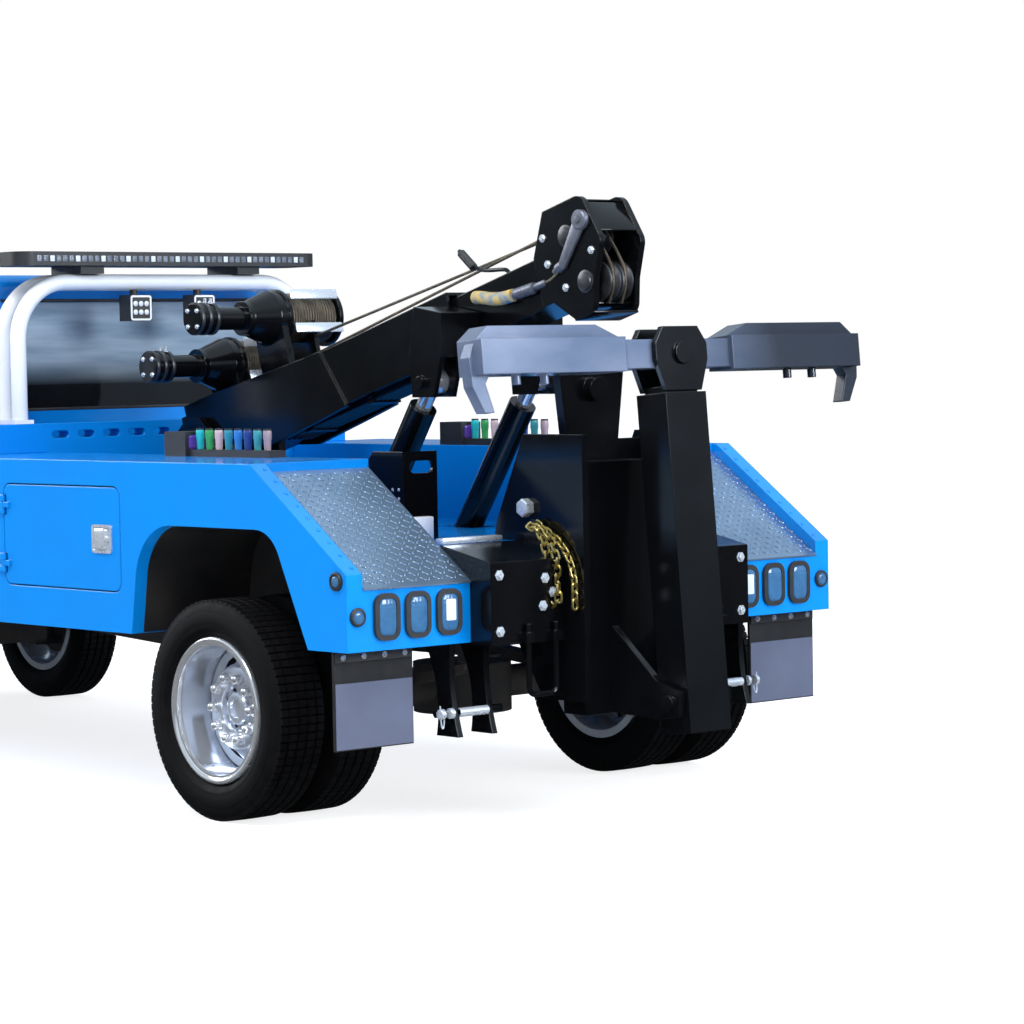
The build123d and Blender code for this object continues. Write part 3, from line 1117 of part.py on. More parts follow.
with BuildPart() as lid_half:
    with BuildSketch(y_plane(BODY_HALF - BODY_WALL)) as lid_face:
        with Locations((-(BOX_BACK + BOX_FRONT) / 2, (BOX_LOW + BOX_HIGH) / 2)):
            RectangleRounded(BOX_FRONT - BOX_BACK - BOX_GAP * 2, BOX_HIGH - BOX_LOW - BOX_GAP * 2,
                             BOX_ROUND - BOX_GAP)
    extrude(lid_face.sketch, amount=BODY_WALL)
    for hinge_z in BOX_HINGE_Z:
        block(BOX_HINGE_X - HINGE_R * 1.6, BOX_FRONT, BOX_HINGE_ROOT, BODY_HALF + HINGE_LEAF,
              hinge_z - HINGE_HIGH * 1.6, hinge_z + HINGE_HIGH * 1.6, mode=Mode.SUBTRACT)
        hinge_leaf(BOX_HINGE_X, BOX_HINGE_Y, hinge_z, 1, False, BOX_HINGE_ROOT)
        hinge_pin(BOX_HINGE_X, BOX_HINGE_Y, hinge_z, 1, RUN, mode=Mode.SUBTRACT)

with BuildPart() as toolbox_left:
    add(body_half.part)
toolbox_left.part.label = "toolbox left"
export_step(toolbox_left.part, "parts/toolbox_left.step")

with BuildPart() as toolbox_right:
    add(body_half.part.mirror(Plane.XZ))
toolbox_right.part.label = "toolbox right"
export_step(toolbox_right.part, "parts/toolbox_right.step")

with BuildPart() as toolbox_door_left:
    add(lid_half.part)
toolbox_door_left.part.label = "toolbox door left"
export_step(toolbox_door_left.part, "parts/toolbox_door_left.step")

with BuildPart() as toolbox_door_right:
    add(lid_half.part.mirror(Plane.XZ))
toolbox_door_right.part.label = "toolbox door right"
export_step(toolbox_door_right.part, "parts/toolbox_door_right.step")

# Dark liners in the rear wheel wells
with BuildPart() as liner_half:
    wheel_arch(WELL_IN_Y, LINER_OUT_Y, SEAT)
    wheel_arch(WELL_IN_Y + LINER_T, BODY_HALF, SEAT + LINER_T, Mode.SUBTRACT)
    block(ARCH_BACK - BODY_WALL, ARCH_FRONT + BODY_WALL, 0, BODY_HALF, 0, BODY_LOW + LINER_T,
          mode=Mode.SUBTRACT)

with BuildPart() as wheel_wells:
    add(liner_half.part)
    add(liner_half.part.mirror(Plane.XZ))
wheel_wells.part.label = "wheel well liners"
export_step(wheel_wells.part, "parts/wheel_wells.step")

with BuildPart() as tread_plates:
    for side in (1, -1):
        near, far = sorted((side * (BODY_IN_Y + SEAT), side * (LIP_Y - SEAT)))
        plate([(TREAD_FRONT - SEAT * 2, TREAD_HIGH_Z), (TREAD_BACK, TREAD_LOW_Z),
               (TREAD_BACK, TREAD_LOW_Z - TREAD_T + SEAT),
               (TREAD_FRONT - SEAT * 2, TREAD_HIGH_Z - TREAD_T + SEAT)],
              near, far)
tread_plates.part.label = "tread plates"
export_step(tread_plates.part, "parts/tread_plates.step")

with BuildPart() as tail_lamps:
    for side in (1, -1):
        for lamp_y in LAMP_Y:
            with BuildSketch(x_plane(BODY_BACK - LAMP_PROUD)) as lens:
                with Locations((side * lamp_y, LAMP_Z)):
                    RectangleRounded(LAMP_W - SEAT * 2, LAMP_H - SEAT * 2, LAMP_ROUND - SEAT)
            extrude(lens.sketch, amount=LAMP_PROUD + LAMP_DEEP - SEAT)
        rod((BODY_BACK - LAMP_PROUD, side * ROUND_LAMP_Y, ROUND_LAMP_Z),
            (BODY_BACK + LAMP_DEEP - SEAT, side * ROUND_LAMP_Y, ROUND_LAMP_Z), ROUND_LAMP_R - SEAT)
tail_lamps.part.label = "tail lamps"
export_step(tail_lamps.part, "parts/tail_lamps.step")

with BuildPart() as mud_flaps:
    for side in (1, -1):
        near, far = sorted((side * FLAP_IN_Y, side * FLAP_OUT_Y))
        block(FLAP_X - FLAP_T, FLAP_X, near, far, FLAP_LOW, BODY_LOW - SEAT)
mud_flaps.part.label = "mud flaps"
export_step(mud_flaps.part, "parts/mud_flaps.step")

# Deck between the modules, on sills along the frame rails
with BuildPart() as deck:
    block(DECK_BACK, BODY_FRONT, SEAT - BODY_IN_Y, BODY_IN_Y - SEAT, DECK_TOP - DECK_T, DECK_TOP)
    for side in (1, -1):
        block(DECK_BACK, BODY_FRONT, *sorted((side * SILL_IN_Y, side * SILL_OUT_Y)), RAIL_HIGH + SEAT,
              DECK_TOP - DECK_T)
        block(RAM_SLOT_BACK, RAM_SLOT_FRONT, side * RAM_Y - RAM_SLOT_HALF, side * RAM_Y + RAM_SLOT_HALF,
              DECK_TOP - DECK_T * 2, DECK_TOP + DECK_T, mode=Mode.SUBTRACT)
deck.part.label = "deck and sills"
export_step(deck.part, "parts/deck.step")

with BuildPart() as headboard:
    block(HEAD_BACK, BODY_FRONT, -HEAD_HALF, HEAD_HALF, BODY_TOP + SEAT, HEAD_TOP)
    block(HEAD_BACK, BODY_FRONT, SEAT - BODY_IN_Y, BODY_IN_Y - SEAT, DECK_TOP + SEAT, BODY_TOP + SEAT)
    with BuildSketch(x_plane(HEAD_BACK)) as slots:
        with GridLocations(HEAD_PITCH, HEAD_PITCH, HEAD_SLOTS, 1):
            with Locations((0, HEAD_SLOT_Z)):
                SlotOverall(HEAD_SLOT_LONG, HEAD_SLOT_HIGH)
    extrude(slots.sketch, amount=BODY_FRONT - HEAD_BACK, mode=Mode.SUBTRACT)
headboard.part.label = "headboard"
export_step(headboard.part, "parts/headboard.step")

with BuildPart() as control_levers:
    for side in (1, -1):
        block(LEVER_BACK - LEVER_PITCH, LEVER_BACK + LEVER_PITCH * LEVER_COUNT,
              side * LEVER_Y - LEVER_BASE * 1.5, side * LEVER_Y + LEVER_BASE * 1.5,
              BODY_TOP + SEAT, BODY_TOP + LEVER_BASE)
        for step in range(LEVER_COUNT):
            lever_x = LEVER_BACK + LEVER_PITCH * step
            rod((lever_x, side * LEVER_Y, BODY_TOP + LEVER_BASE / 2),
                (lever_x, side * LEVER_Y, BODY_TOP + LEVER_HIGH), LEVER_R)
            rod((lever_x, side * LEVER_Y, BODY_TOP + LEVER_HIGH - KNOB_R / 2),
                (lever_x, side * LEVER_Y, BODY_TOP + LEVER_HIGH + KNOB_R * 2), KNOB_R)
    for side in (1, -1):
        block(CONSOLE_BACK, CONSOLE_FRONT, side * LEVER_Y - LEVER_BASE * 2,
              side * LEVER_Y + LEVER_BASE * 2,
              BODY_TOP + SEAT, BODY_TOP + CONSOLE_HIGH)
control_levers.part.label = "control levers"
export_step(control_levers.part, "parts/control_levers.step")

# Twin hoop with the light bar
with BuildPart() as light_hoop:
    for hoop_x, foot_z in ((HOOP_X, HEAD_TOP + SEAT), (HOOP_X + HOOP_PITCH, HEAD_TOP + SEAT)):
        with BuildLine() as path:
            FilletPolyline((hoop_x, -HOOP_Y, foot_z), (hoop_x, -HOOP_Y, HOOP_TOP),
                           (hoop_x, HOOP_Y, HOOP_TOP),
                           (hoop_x, HOOP_Y, foot_z), radius=HOOP_BEND)
        with BuildSketch(Plane(origin=(hoop_x, -HOOP_Y, foot_z), z_dir=(0, 0, 1))) as tube:
            Circle(HOOP_R)
        sweep(tube.sketch, path=path.line)
    for side in (1, -1):
        block(HOOP_X - HOOP_R, HOOP_X + HOOP_PITCH + HOOP_R, side * HOOP_Y - HOOP_R * 1.4,
              side * HOOP_Y + HOOP_R * 1.4,
              HEAD_TOP + SEAT, HEAD_TOP + HOOP_R / 2)
light_hoop.part.label = "light hoop"
export_step(light_hoop.part, "parts/light_hoop.step")

with BuildPart() as light_bar:
    foot_low = HOOP_TOP + HOOP_R + SEAT
    block(BAR_X - BAR_LONG / 2, BAR_X + BAR_LONG / 2, -BAR_HALF, BAR_HALF,
          foot_low + BAR_FOOT_HIGH, foot_low + BAR_FOOT_HIGH + BAR_HIGH)
    fillet(light_bar.edges().filter_by(Axis.Z), BAR_LONG / 4)
    for side in (1, -1):
        block(BAR_X - BAR_LONG / 2.4, BAR_X + BAR_LONG / 2.4, side * BAR_FOOT_Y - BAR_HIGH,
              side * BAR_FOOT_Y + BAR_HIGH,
              foot_low, foot_low + BAR_FOOT_HIGH)
light_bar.part.label = "light bar"
export_step(light_bar.part, "parts/light_bar.step")

with BuildPart() as work_lamps:
    for lamp_y in (-WORK_LAMP * 1.5, WORK_LAMP * 1.5):
        top = HOOP_TOP - HOOP_R - SEAT
        rod((HOOP_X, lamp_y, top), (HOOP_X, lamp_y, top - WORK_LAMP / 3), HOOP_R / 2)
        block(HOOP_X - WORK_LAMP / 2, HOOP_X + WORK_LAMP / 4, lamp_y - WORK_LAMP / 2,
              lamp_y + WORK_LAMP / 2,
              top - WORK_LAMP * 1.2, top - WORK_LAMP * 0.2)
work_lamps.part.label = "work lamps"
export_step(work_lamps.part, "parts/work_lamps.step")

# Boom: everything on it is drawn along its own slope
SLOPE_X, SLOPE_Z = -cos(radians(BOOM_ANGLE)), sin(radians(BOOM_ANGLE))


def boom_plane(y):
    """Sketch plane on the boom: sketch x runs to its tip, sketch y stands off its back."""
    return Plane(origin=(BOOM_X, y, BOOM_Z), x_dir=(SLOPE_X, 0, SLOPE_Z), z_dir=(0, 1, 0))


def boom_point(along, off):
    """X and Z of a point given along and off the boom."""
    return BOOM_X + SLOPE_X * along + SLOPE_Z * off, BOOM_Z + SLOPE_Z * along - SLOPE_X * off


def boom_box(start, end, low, high, y_low, y_high, mode=Mode.ADD):
    """Block lying along the boom."""
    with BuildSketch(boom_plane(y_low)) as side_view:
        with Locations(((start + end) / 2, (low + high) / 2)):
            Rectangle(end - start, high - low)
    extrude(side_view.sketch, amount=y_high - y_low, mode=mode)


def boom_tube(start, end, size, wall):
    """Square tube along the boom."""
    boom_box(start, end, -size / 2, size / 2, -size / 2, size / 2)
    boom_box(start, end, wall - size / 2, size / 2 - wall, wall - size / 2, size / 2 - wall,
             mode=Mode.SUBTRACT)


with BuildPart() as boom_stand:
    for side in (1, -1):
        plate([(STAND_BACK, DECK_TOP + SEAT), (BOOM_X - STAND_NECK, STAND_NECK_Z),
               (BOOM_X - STAND_CROWN, STAND_CROWN_Z), (BOOM_X + STAND_CROWN, STAND_CROWN_Z),
               (BOOM_X + STAND_NECK, STAND_NECK_Z), (STAND_FRONT, DECK_TOP + SEAT)],
              *sorted((side * STAND_IN_Y, side * (STAND_IN_Y + STAND_PLATE))))
        for ear_y in (side * RAM_Y - RAM_EYE_HALF - SEAT - RAM_EAR, side * RAM_Y + RAM_EYE_HALF + SEAT):
            plate([(RAM_BASE_X - EAR_FOOT, RAM_BASE_Z - EAR_DROP),
                   (RAM_BASE_X - EAR_TOP, RAM_BASE_Z + EAR_RISE),
                   (RAM_BASE_X + EAR_TOP, RAM_BASE_Z + EAR_RISE),
                   (RAM_BASE_X + EAR_FOOT, RAM_BASE_Z - EAR_DROP)],
                  ear_y, ear_y + RAM_EAR)
        rod((RAM_BASE_X, side * RAM_Y - RAM_EYE_HALF - RAM_EAR * 1.5, RAM_BASE_Z),
            (RAM_BASE_X, side * RAM_Y + RAM_EYE_HALF + RAM_EAR * 1.5, RAM_BASE_Z), RAM_PIN_R)
    block(STAND_BACK, STAND_FRONT, -STAND_IN_Y - STAND_PLATE, STAND_IN_Y + STAND_PLATE,
          DECK_TOP + SEAT, DECK_TOP + STAND_PLATE)
    rod((BOOM_X, -STAND_IN_Y - STAND_PLATE * 1.4, BOOM_Z),
        (BOOM_X, STAND_IN_Y + STAND_PLATE * 1.4, BOOM_Z), BOOM_PIN_R)
    block(RAM_BASE_X - BEAM_HALF, RAM_BASE_X + BEAM_HALF, SEAT - RAIL_Y + RAIL_T, RAIL_Y - RAIL_T - SEAT,
          RAM_BASE_Z - BEAM_LOW, RAM_BASE_Z - BEAM_TOP)
boom_stand.part.label = "boom stand"
export_step(boom_stand.part, "parts/boom_stand.step")

with BuildPart() as boom_lower:
    boom_tube(-BOOM_HEEL, BOOM_LONG, BOOM_SIZE, BOOM_WALL)
    boom_box(-BOOM_HEEL, BOOM_PIN_R * 2.2, -BOOM_SIZE / 2, BOOM_SIZE / 2, -BOOM_SIZE / 2, BOOM_SIZE / 2)
    for side in (1, -1):
        plate(HEEL_PLATE, *sorted((side * (BOOM_SIZE / 2 - BOOM_WALL / 2),
                                   side * (BOOM_SIZE / 2 + HEEL_T))))
    for start in (BOOM_LONG - PAD_LONG, JIB_START + PAD_LONG * 4):
        for inner, outer in ((JIB_SIZE / 2 + SEAT, BOOM_SIZE / 2 - BOOM_WALL / 2),
                             (BOOM_WALL / 2 - BOOM_SIZE / 2, -JIB_SIZE / 2 - SEAT)):
            boom_box(start, start + PAD_LONG, inner, outer, -JIB_SIZE / 3, JIB_SIZE / 3)
            boom_box(start, start + PAD_LONG, -JIB_SIZE / 3, JIB_SIZE / 3, inner, outer)
    for side in (1, -1):
        near, far = RAM_Y - RAM_EYE_HALF - SEAT - RAM_EAR, RAM_Y + RAM_EYE_HALF + SEAT + RAM_EAR
        plate([(BRACKET_BACK, BRACKET_LOW), (BRACKET_BACK, BRACKET_TOP - BRACKET_LEAN),
               (BRACKET_TIP, BRACKET_TOP), (BRACKET_FRONT, BRACKET_LOW)],
              *sorted((side * (BOOM_SIZE / 2 - BOOM_WALL / 2), side * far)))
        for ear_y in (near, far - RAM_EAR):
            plate([(RAM_EYE_X - BRACKET_EAR, RAM_EYE_Z - BRACKET_EAR_DROP),
                   (BRACKET_BACK, RAM_EYE_Z + BRACKET_EAR_RISE),
                   (BRACKET_FRONT, RAM_EYE_Z + BRACKET_EAR_RISE),
                   (RAM_EYE_X + BRACKET_EAR, RAM_EYE_Z - BRACKET_EAR_DROP)],
                  *sorted((side * ear_y, side * (ear_y + RAM_EAR))))
        rod((RAM_EYE_X, side * far, RAM_EYE_Z), (RAM_EYE_X, side * (far + RAM_EAR), RAM_EYE_Z), RAM_PIN_R)
    for hose_y in HOSE_Y:
        hose_x, hose_z = boom_point(HOSE_START, HOSE_SINK - BOOM_SIZE / 2 - HOSE_R)
        end_x, end_z = boom_point(BOOM_LONG, HOSE_SINK - BOOM_SIZE / 2 - HOSE_R)
        rod((hose_x, hose_y, hose_z), (end_x, hose_y, end_z), HOSE_R)
    for clip in HOSE_CLIPS:
        boom_box(clip, clip + HOSE_R * 3, -BOOM_SIZE / 2 - HOSE_R * 2.4, -BOOM_SIZE / 2,
                 HOSE_Y[0] - HOSE_R * 1.5, HOSE_Y[-1] + HOSE_R * 1.5)
    rod((BOOM_X, -BOOM_SIZE, BOOM_Z), (BOOM_X, BOOM_SIZE, BOOM_Z), BOOM_PIN_R + RUN, mode=Mode.SUBTRACT)
boom_lower.part.label = "lower boom"
export_step(boom_lower.part, "parts/boom_lower.step")

with BuildPart() as boom_upper:
    boom_tube(JIB_START, JIB_END, JIB_SIZE, JIB_WALL)
    for side in (1, -1):
        near, far = sorted((side * (JIB_SIZE / 2 - JIB_WALL / 2), side * (JIB_SIZE / 2 + HEAD_PLATE)))
        with BuildSketch(boom_plane(near)) as cheek:
            with BuildLine():
                Polyline(*HEAD_CHEEK, close=True)
            make_face()
            fillet(cheek.vertices().sort_by(Axis.X)[-4:], HEAD_ROUND)
        extrude(cheek.sketch, amount=far - near)
    for along, off in SHEAVES:
        x, z = boom_point(along, off)
        rod((x, -JIB_SIZE / 2 - HEAD_PLATE * 1.6, z), (x, JIB_SIZE / 2 + HEAD_PLATE * 1.6, z),
            SHEAVE_PIN_R)
boom_upper.part.label = "upper boom"
export_step(boom_upper.part, "parts/boom_upper.step")

with BuildPart() as sheaves:
    for along, off in SHEAVES:
        x, z = boom_point(along, off)
        for sheave_y in (-SHEAVE_W / 2 - SEAT, SHEAVE_W / 2 + SEAT):
            rod((x, sheave_y - SHEAVE_W / 2, z), (x, sheave_y + SHEAVE_W / 2, z), SHEAVE_R * 0.8)
        rod((x, -JIB_SIZE, z), (x, JIB_SIZE, z), SHEAVE_PIN_R + SEAT, mode=Mode.SUBTRACT)
sheaves.part.label = "boom head sheaves"
export_step(sheaves.part, "parts/sheaves.step")

# Winches: drum on the boom's middle, gear case and motor out to the left
with BuildPart() as winches:
    for winch_x, winch_z in WINCHES:
        with BuildSketch(x_plane(winch_x)) as section:
            across([(y, winch_z + radius) for y, radius in WINCH_PROFILE])
        revolve(section.sketch, axis=Axis((winch_x, 0, winch_z), (0, 1, 0)))
        along = -(winch_x - BOOM_X) * -SLOPE_X + (winch_z - BOOM_Z) * SLOPE_Z
        foot = BOOM_SIZE / 2 + SEAT
        rise = (winch_x - BOOM_X) * SLOPE_Z + (winch_z - BOOM_Z) * -SLOPE_X
        for y_low, y_high in WINCH_CHEEKS:
            boom_box(along - WINCH_CHEEK_HALF, along + WINCH_CHEEK_HALF, foot, rise, y_low, y_high)
        boom_box(along - WINCH_FOOT_HALF, along + WINCH_FOOT_HALF, foot, foot + HEAD_PLATE, -WINCH_FOOT_Y,
                 WINCH_FOOT_Y)
winches.part.label = "winches"
export_step(winches.part, "parts/winches.step")

# Lift cylinders of the boom
RAM_WAY = Vector(RAM_EYE_X - RAM_BASE_X, 0, RAM_EYE_Z - RAM_BASE_Z)
RAM_LONG = RAM_WAY.length
RAM_DIR = RAM_WAY.normalized()


def ram_point(along, y):
    """Point along a lift cylinder from its base pin."""
    return RAM_BASE_X + RAM_DIR.X * along, y, RAM_BASE_Z + RAM_DIR.Z * along


with BuildPart() as ram_barrels:
    for side in (1, -1):
        middle = side * RAM_Y
        rod(ram_point(RAM_NECK, middle), ram_point(RAM_MOUTH, middle), RAM_R)
        rod(ram_point(0, middle), ram_point(RAM_NECK + SEAT, middle), RAM_EYE_HALF - SEAT)
        rod(ram_point(0, middle - RAM_EYE_HALF), ram_point(0, middle + RAM_EYE_HALF), RAM_EYE_R)
        rod(ram_point(RAM_FLOOR, middle), ram_point(RAM_MOUTH, middle), RAM_ROD_R + SEAT,
            mode=Mode.SUBTRACT)
        rod(ram_point(0, middle - RAM_R * 2), ram_point(0, middle + RAM_R * 2), RAM_PIN_R + RUN,
            mode=Mode.SUBTRACT)
ram_barrels.part.label = "boom cylinder barrels"
export_step(ram_barrels.part, "parts/ram_barrels.step")

with BuildPart() as ram_rods:
    for side in (1, -1):
        middle = side * RAM_Y
        rod(ram_point(RAM_FLOOR + SEAT * 10, middle), ram_point(RAM_LONG, middle), RAM_ROD_R)
        rod(ram_point(RAM_LONG, middle - RAM_EYE_HALF), ram_point(RAM_LONG, middle + RAM_EYE_HALF),
            RAM_EYE_R)
ram_rods.part.label = "boom cylinder rods"
export_step(ram_rods.part, "parts/ram_rods.step")

# Rear housing, mast and wheel lift
with BuildPart() as tail_housing:
    for side in (1, -1):
        near, far = sorted((side * (MAST_IN_Y + MAST_PLATE + SEAT), side * (BODY_IN_Y - SEAT)))
        plate([(TAIL_BACK, TAIL_LOW), (TAIL_BACK, TAIL_TOP), (DECK_BACK - SEAT, DECK_TOP),
               (DECK_BACK - SEAT, TAIL_LOW)],
              near, far)
        with BuildLine() as bend:
            FilletPolyline((HOOK_X, side * HOOK_OUT_Y, HOOK_HIGH), (HOOK_X, side * HOOK_OUT_Y, HOOK_LOW),
                           (HOOK_X, side * HOOK_IN_Y, HOOK_LOW), (HOOK_X, side * HOOK_IN_Y, HOOK_HIGH),
                           radius=HOOK_R * 2.5)
        with BuildSketch(Plane(origin=(HOOK_X, side * HOOK_OUT_Y, HOOK_HIGH), z_dir=(0, 0, -1))) as bar:
            Circle(HOOK_R)
        sweep(bar.sketch, path=bend.line)
        for clamp_y in (HOOK_OUT_Y, HOOK_IN_Y):
            block(HOOK_X - HOOK_R * 1.4, TAIL_BACK + 1, side * clamp_y - HOOK_R * 2,
                  side * clamp_y + HOOK_R * 2,
                  TAIL_LOW + HOOK_R / 2, TAIL_LOW + HOOK_R * 4)
tail_housing.part.label = "tail housing"
export_step(tail_housing.part, "parts/tail_housing.step")

with BuildPart() as lift_mast:
    for side in (1, -1):
        plate([(MAST_BACK, MAST_LOW), (MAST_BACK, MAST_TOP), (MAST_NECK, MAST_TOP),
               (MAST_KNEE, MAST_KNEE_Z),
               (MAST_TOE, DECK_TOP + SEAT), (DECK_BACK - SEAT, DECK_TOP + SEAT),
               (DECK_BACK - SEAT, TAIL_LOW),
               (MAST_HEEL, MAST_LOW)],
              *sorted((side * MAST_IN_Y, side * (MAST_IN_Y + MAST_PLATE))))
        skin_y = side * (MAST_IN_Y + MAST_PLATE)
        with BuildSketch(y_plane(skin_y)) as bolt_head:
            with Locations((-MAST_BOLT_X, MAST_BOLT_Z)):
                RegularPolygon(MAST_BOLT_R, 6)
        extrude(bolt_head.sketch, amount=side * MAST_BOLT_R * 0.7)
    block(CARRIAGE_FRONT + SEAT, DECK_BACK - SEAT, -MAST_IN_Y - 1, MAST_IN_Y + 1, TAIL_LOW, TAIL_TOP)
    block(WALL_BACK, WALL_BACK + WALL_T, -MAST_IN_Y - 1, MAST_IN_Y + 1, TAIL_TOP - 1,
          POST_LOW + WALL_T / 2)
    with BuildSketch(x_plane(WALL_BACK)) as post:
        across([(-POST_LOW_Y, POST_LOW), (POST_LOW_Y, POST_LOW), (POST_HIGH_Y, POST_HIGH),
                (-POST_HIGH_Y, POST_HIGH)])
    extrude(post.sketch, amount=WALL_T)
    rod((WALL_BACK - WALL_T, 0, POST_BOSS_Z), (WALL_BACK + WALL_T * 1.5, 0, POST_BOSS_Z), POST_BOSS_R)
    rod((CHAIN_X, MAST_IN_Y, CHAIN_Z), (CHAIN_X, CHAIN_Y + LINK_BEND + LINK_R * 3, CHAIN_Z), LINK_R)
    rod((CHAIN_X, CHAIN_Y + LINK_BEND + LINK_R * 2, CHAIN_Z),
        (CHAIN_X, CHAIN_Y + LINK_BEND + LINK_R * 3, CHAIN_Z),
        LINK_BEND * 1.5)
lift_mast.part.label = "lift mast"
export_step(lift_mast.part, "parts/lift_mast.step")

with BuildPart() as lift_carriage:
    block(CARRIAGE_BACK, CARRIAGE_FRONT, SEAT - MAST_IN_Y, MAST_IN_Y - SEAT, CARRIAGE_LOW, CARRIAGE_HIGH)
    for side in (1, -1):
        plate(FOLD_SIDE,
              *sorted((side * (STING_W / 2 + SEAT), side * (STING_W / 2 + SEAT + FOLD_EAR))))
    rod((FOLD_X, -STING_W / 2 - FOLD_EAR * 1.5, FOLD_Z), (FOLD_X, STING_W / 2 + FOLD_EAR * 1.5, FOLD_Z),
        FOLD_PIN_R)
lift_carriage.part.label = "lift carriage"
export_step(lift_carriage.part, "parts/lift_carriage.step")

LEAN_X, LEAN_Z = sin(radians(FOLD_LEAN)), cos(radians(FOLD_LEAN))


def lift_box(start, end, low, high, y_low, y_high, mode=Mode.ADD):
    """Block lying along the folded stinger; low and high stand off its rear face."""
    with BuildSketch(Plane(origin=(FOLD_X, y_low, FOLD_Z), x_dir=(LEAN_X, 0, LEAN_Z),
                           z_dir=(0, 1, 0))) as side_view:
        with Locations(((start + end) / 2, (low + high) / 2)):
            Rectangle(end - start, high - low)
    extrude(side_view.sketch, amount=y_high - y_low, mode=mode)


def lift_point(along, off, y):
    """Point along and off the folded stinger."""
    return FOLD_X + LEAN_X * along + LEAN_Z * off, y, FOLD_Z + LEAN_Z * along - LEAN_X * off


def lift_face(points, off_low, off_high):
    """Plate of a (Y, along) outline seen from behind the folded stinger, between two offsets."""
    base = Plane(origin=lift_point(0, off_low, 0), x_dir=(0, 1, 0), z_dir=(LEAN_Z, 0, -LEAN_X))
    with BuildSketch(base) as face:
        across(points)
    extrude(face.sketch, amount=off_high - off_low)


with BuildPart() as stinger:
    lift_box(-STING_HEEL, STING_LONG, -STING_D / 2, STING_D / 2, -STING_W / 2, STING_W / 2)
    lift_box(FOLD_PIN_R * 2.5, STING_LONG + 1, -INNER_D / 2 - SEAT, INNER_D / 2 + SEAT,
             -INNER_W / 2 - SEAT, INNER_W / 2 + SEAT, mode=Mode.SUBTRACT)
    rod((FOLD_X, -STING_W, FOLD_Z), (FOLD_X, STING_W, FOLD_Z), FOLD_PIN_R + RUN, mode=Mode.SUBTRACT)
stinger.part.label = "stinger"
export_step(stinger.part, "parts/stinger.step")

with BuildPart() as stinger_inner:
    lift_box(INNER_START, YOKE_LOW + YOKE_WEB, -INNER_D / 2, INNER_D / 2, -INNER_W / 2, INNER_W / 2)
    lift_box(YOKE_LOW, YOKE_LOW + YOKE_WEB, -BAR_T / 2 - YOKE_PLATE, BAR_T / 2 + YOKE_PLATE,
             -INNER_W / 2, INNER_W / 2)
    for near in (BAR_T / 2 + SEAT, -BAR_T / 2 - YOKE_PLATE - SEAT):
        lift_face([(-YOKE_NECK, YOKE_LOW), (-YOKE_W / 2, YOKE_LOW + YOKE_FLARE),
                   (-YOKE_W / 2, YOKE_HIGH - YOKE_SHOULDER), (-YOKE_NECK, YOKE_HIGH),
                   (YOKE_NECK, YOKE_HIGH),
                   (YOKE_W / 2, YOKE_HIGH - YOKE_SHOULDER), (YOKE_W / 2, YOKE_LOW + YOKE_FLARE),
                   (YOKE_NECK, YOKE_LOW)], near, near + YOKE_PLATE)
    rod(lift_point(BAR_MID, -BAR_T / 2 - YOKE_PLATE * 1.6, 0),
        lift_point(BAR_MID, BAR_T / 2 + YOKE_PLATE * 1.6, 0),
        BAR_PIN_R)
stinger_inner.part.label = "stinger inner boom"
export_step(stinger_inner.part, "parts/stinger_inner.step")

with BuildPart() as crossbar:
    lift_box(BAR_MID - CORE_HALF, BAR_MID + CORE_HALF, -BAR_T / 2, BAR_T / 2, -BAR_Y, BAR_Y)
    for side in (1, -1):
        near, far = side * SLEEVE_IN_Y, side * BAR_Y
        lift_box(BAR_MID - BAR_H / 2, BAR_MID + BAR_H / 2, -BAR_T / 2 - SLEEVE_T, BAR_T / 2 + SLEEVE_T,
                 *sorted((near, far)))
        lift_face([(near, BAR_MID + BAR_H / 2), (near + side * CAP_IN, BAR_MID + BAR_H / 2 + CAP_HIGH),
                   (far - side * CAP_OUT, BAR_MID + BAR_H / 2 + CAP_HIGH), (far, BAR_MID + BAR_H / 2)],
                  -BAR_T / 2 + SLEEVE_T, BAR_T / 2 + SLEEVE_T)
        lift_face([(far + side * out, along) for out, along in CLAW], -BAR_T / 4, BAR_T / 4)
        for back in STUDS:
            stud_y = far - side * back
            rod(lift_point(BAR_MID - BAR_H / 2 - STUD_LONG, 0, stud_y), lift_point(BAR_MID, 0, stud_y),
                SLEEVE_T)
    rod(lift_point(BAR_MID, -BAR_T, 0), lift_point(BAR_MID, BAR_T, 0), BAR_PIN_R + RUN,
        mode=Mode.SUBTRACT)
crossbar.part.label = "crossbar"
export_step(crossbar.part, "parts/crossbar.step")

# Racks for the lift arms: a slotted rear plate and a side plate on a foot
with BuildPart() as arm_racks:
    for side in (1, -1):
        near, far = sorted((side * RACK_IN_Y, side * RACK_OUT_Y))
        block(RACK_BACK, RACK_FRONT, near, far, DECK_TOP + SEAT, DECK_TOP + RACK_T)
        block(RACK_BACK, RACK_BACK + RACK_T, near, far, DECK_TOP + SEAT, RACK_HIGH)
        plate([(RACK_BACK, DECK_TOP + SEAT), (RACK_BACK, RACK_HIGH), (RACK_FRONT - RACK_T * 4, RACK_HIGH),
               (RACK_FRONT, RACK_HIGH - RACK_T * 4), (RACK_FRONT, DECK_TOP + SEAT)],
              *sorted((side * (RACK_OUT_Y - RACK_T), side * RACK_OUT_Y)))
        with BuildSketch(x_plane(RACK_BACK)) as slot:
            with Locations((side * (RACK_IN_Y + RACK_OUT_Y - RACK_T) / 2, RACK_SLOT_Z)):
                SlotOverall(RACK_SLOT_LONG, RACK_SLOT_HIGH)
        extrude(slot.sketch, amount=RACK_T, mode=Mode.SUBTRACT)
arm_racks.part.label = "lift arm racks"
export_step(arm_racks.part, "parts/arm_racks.step")


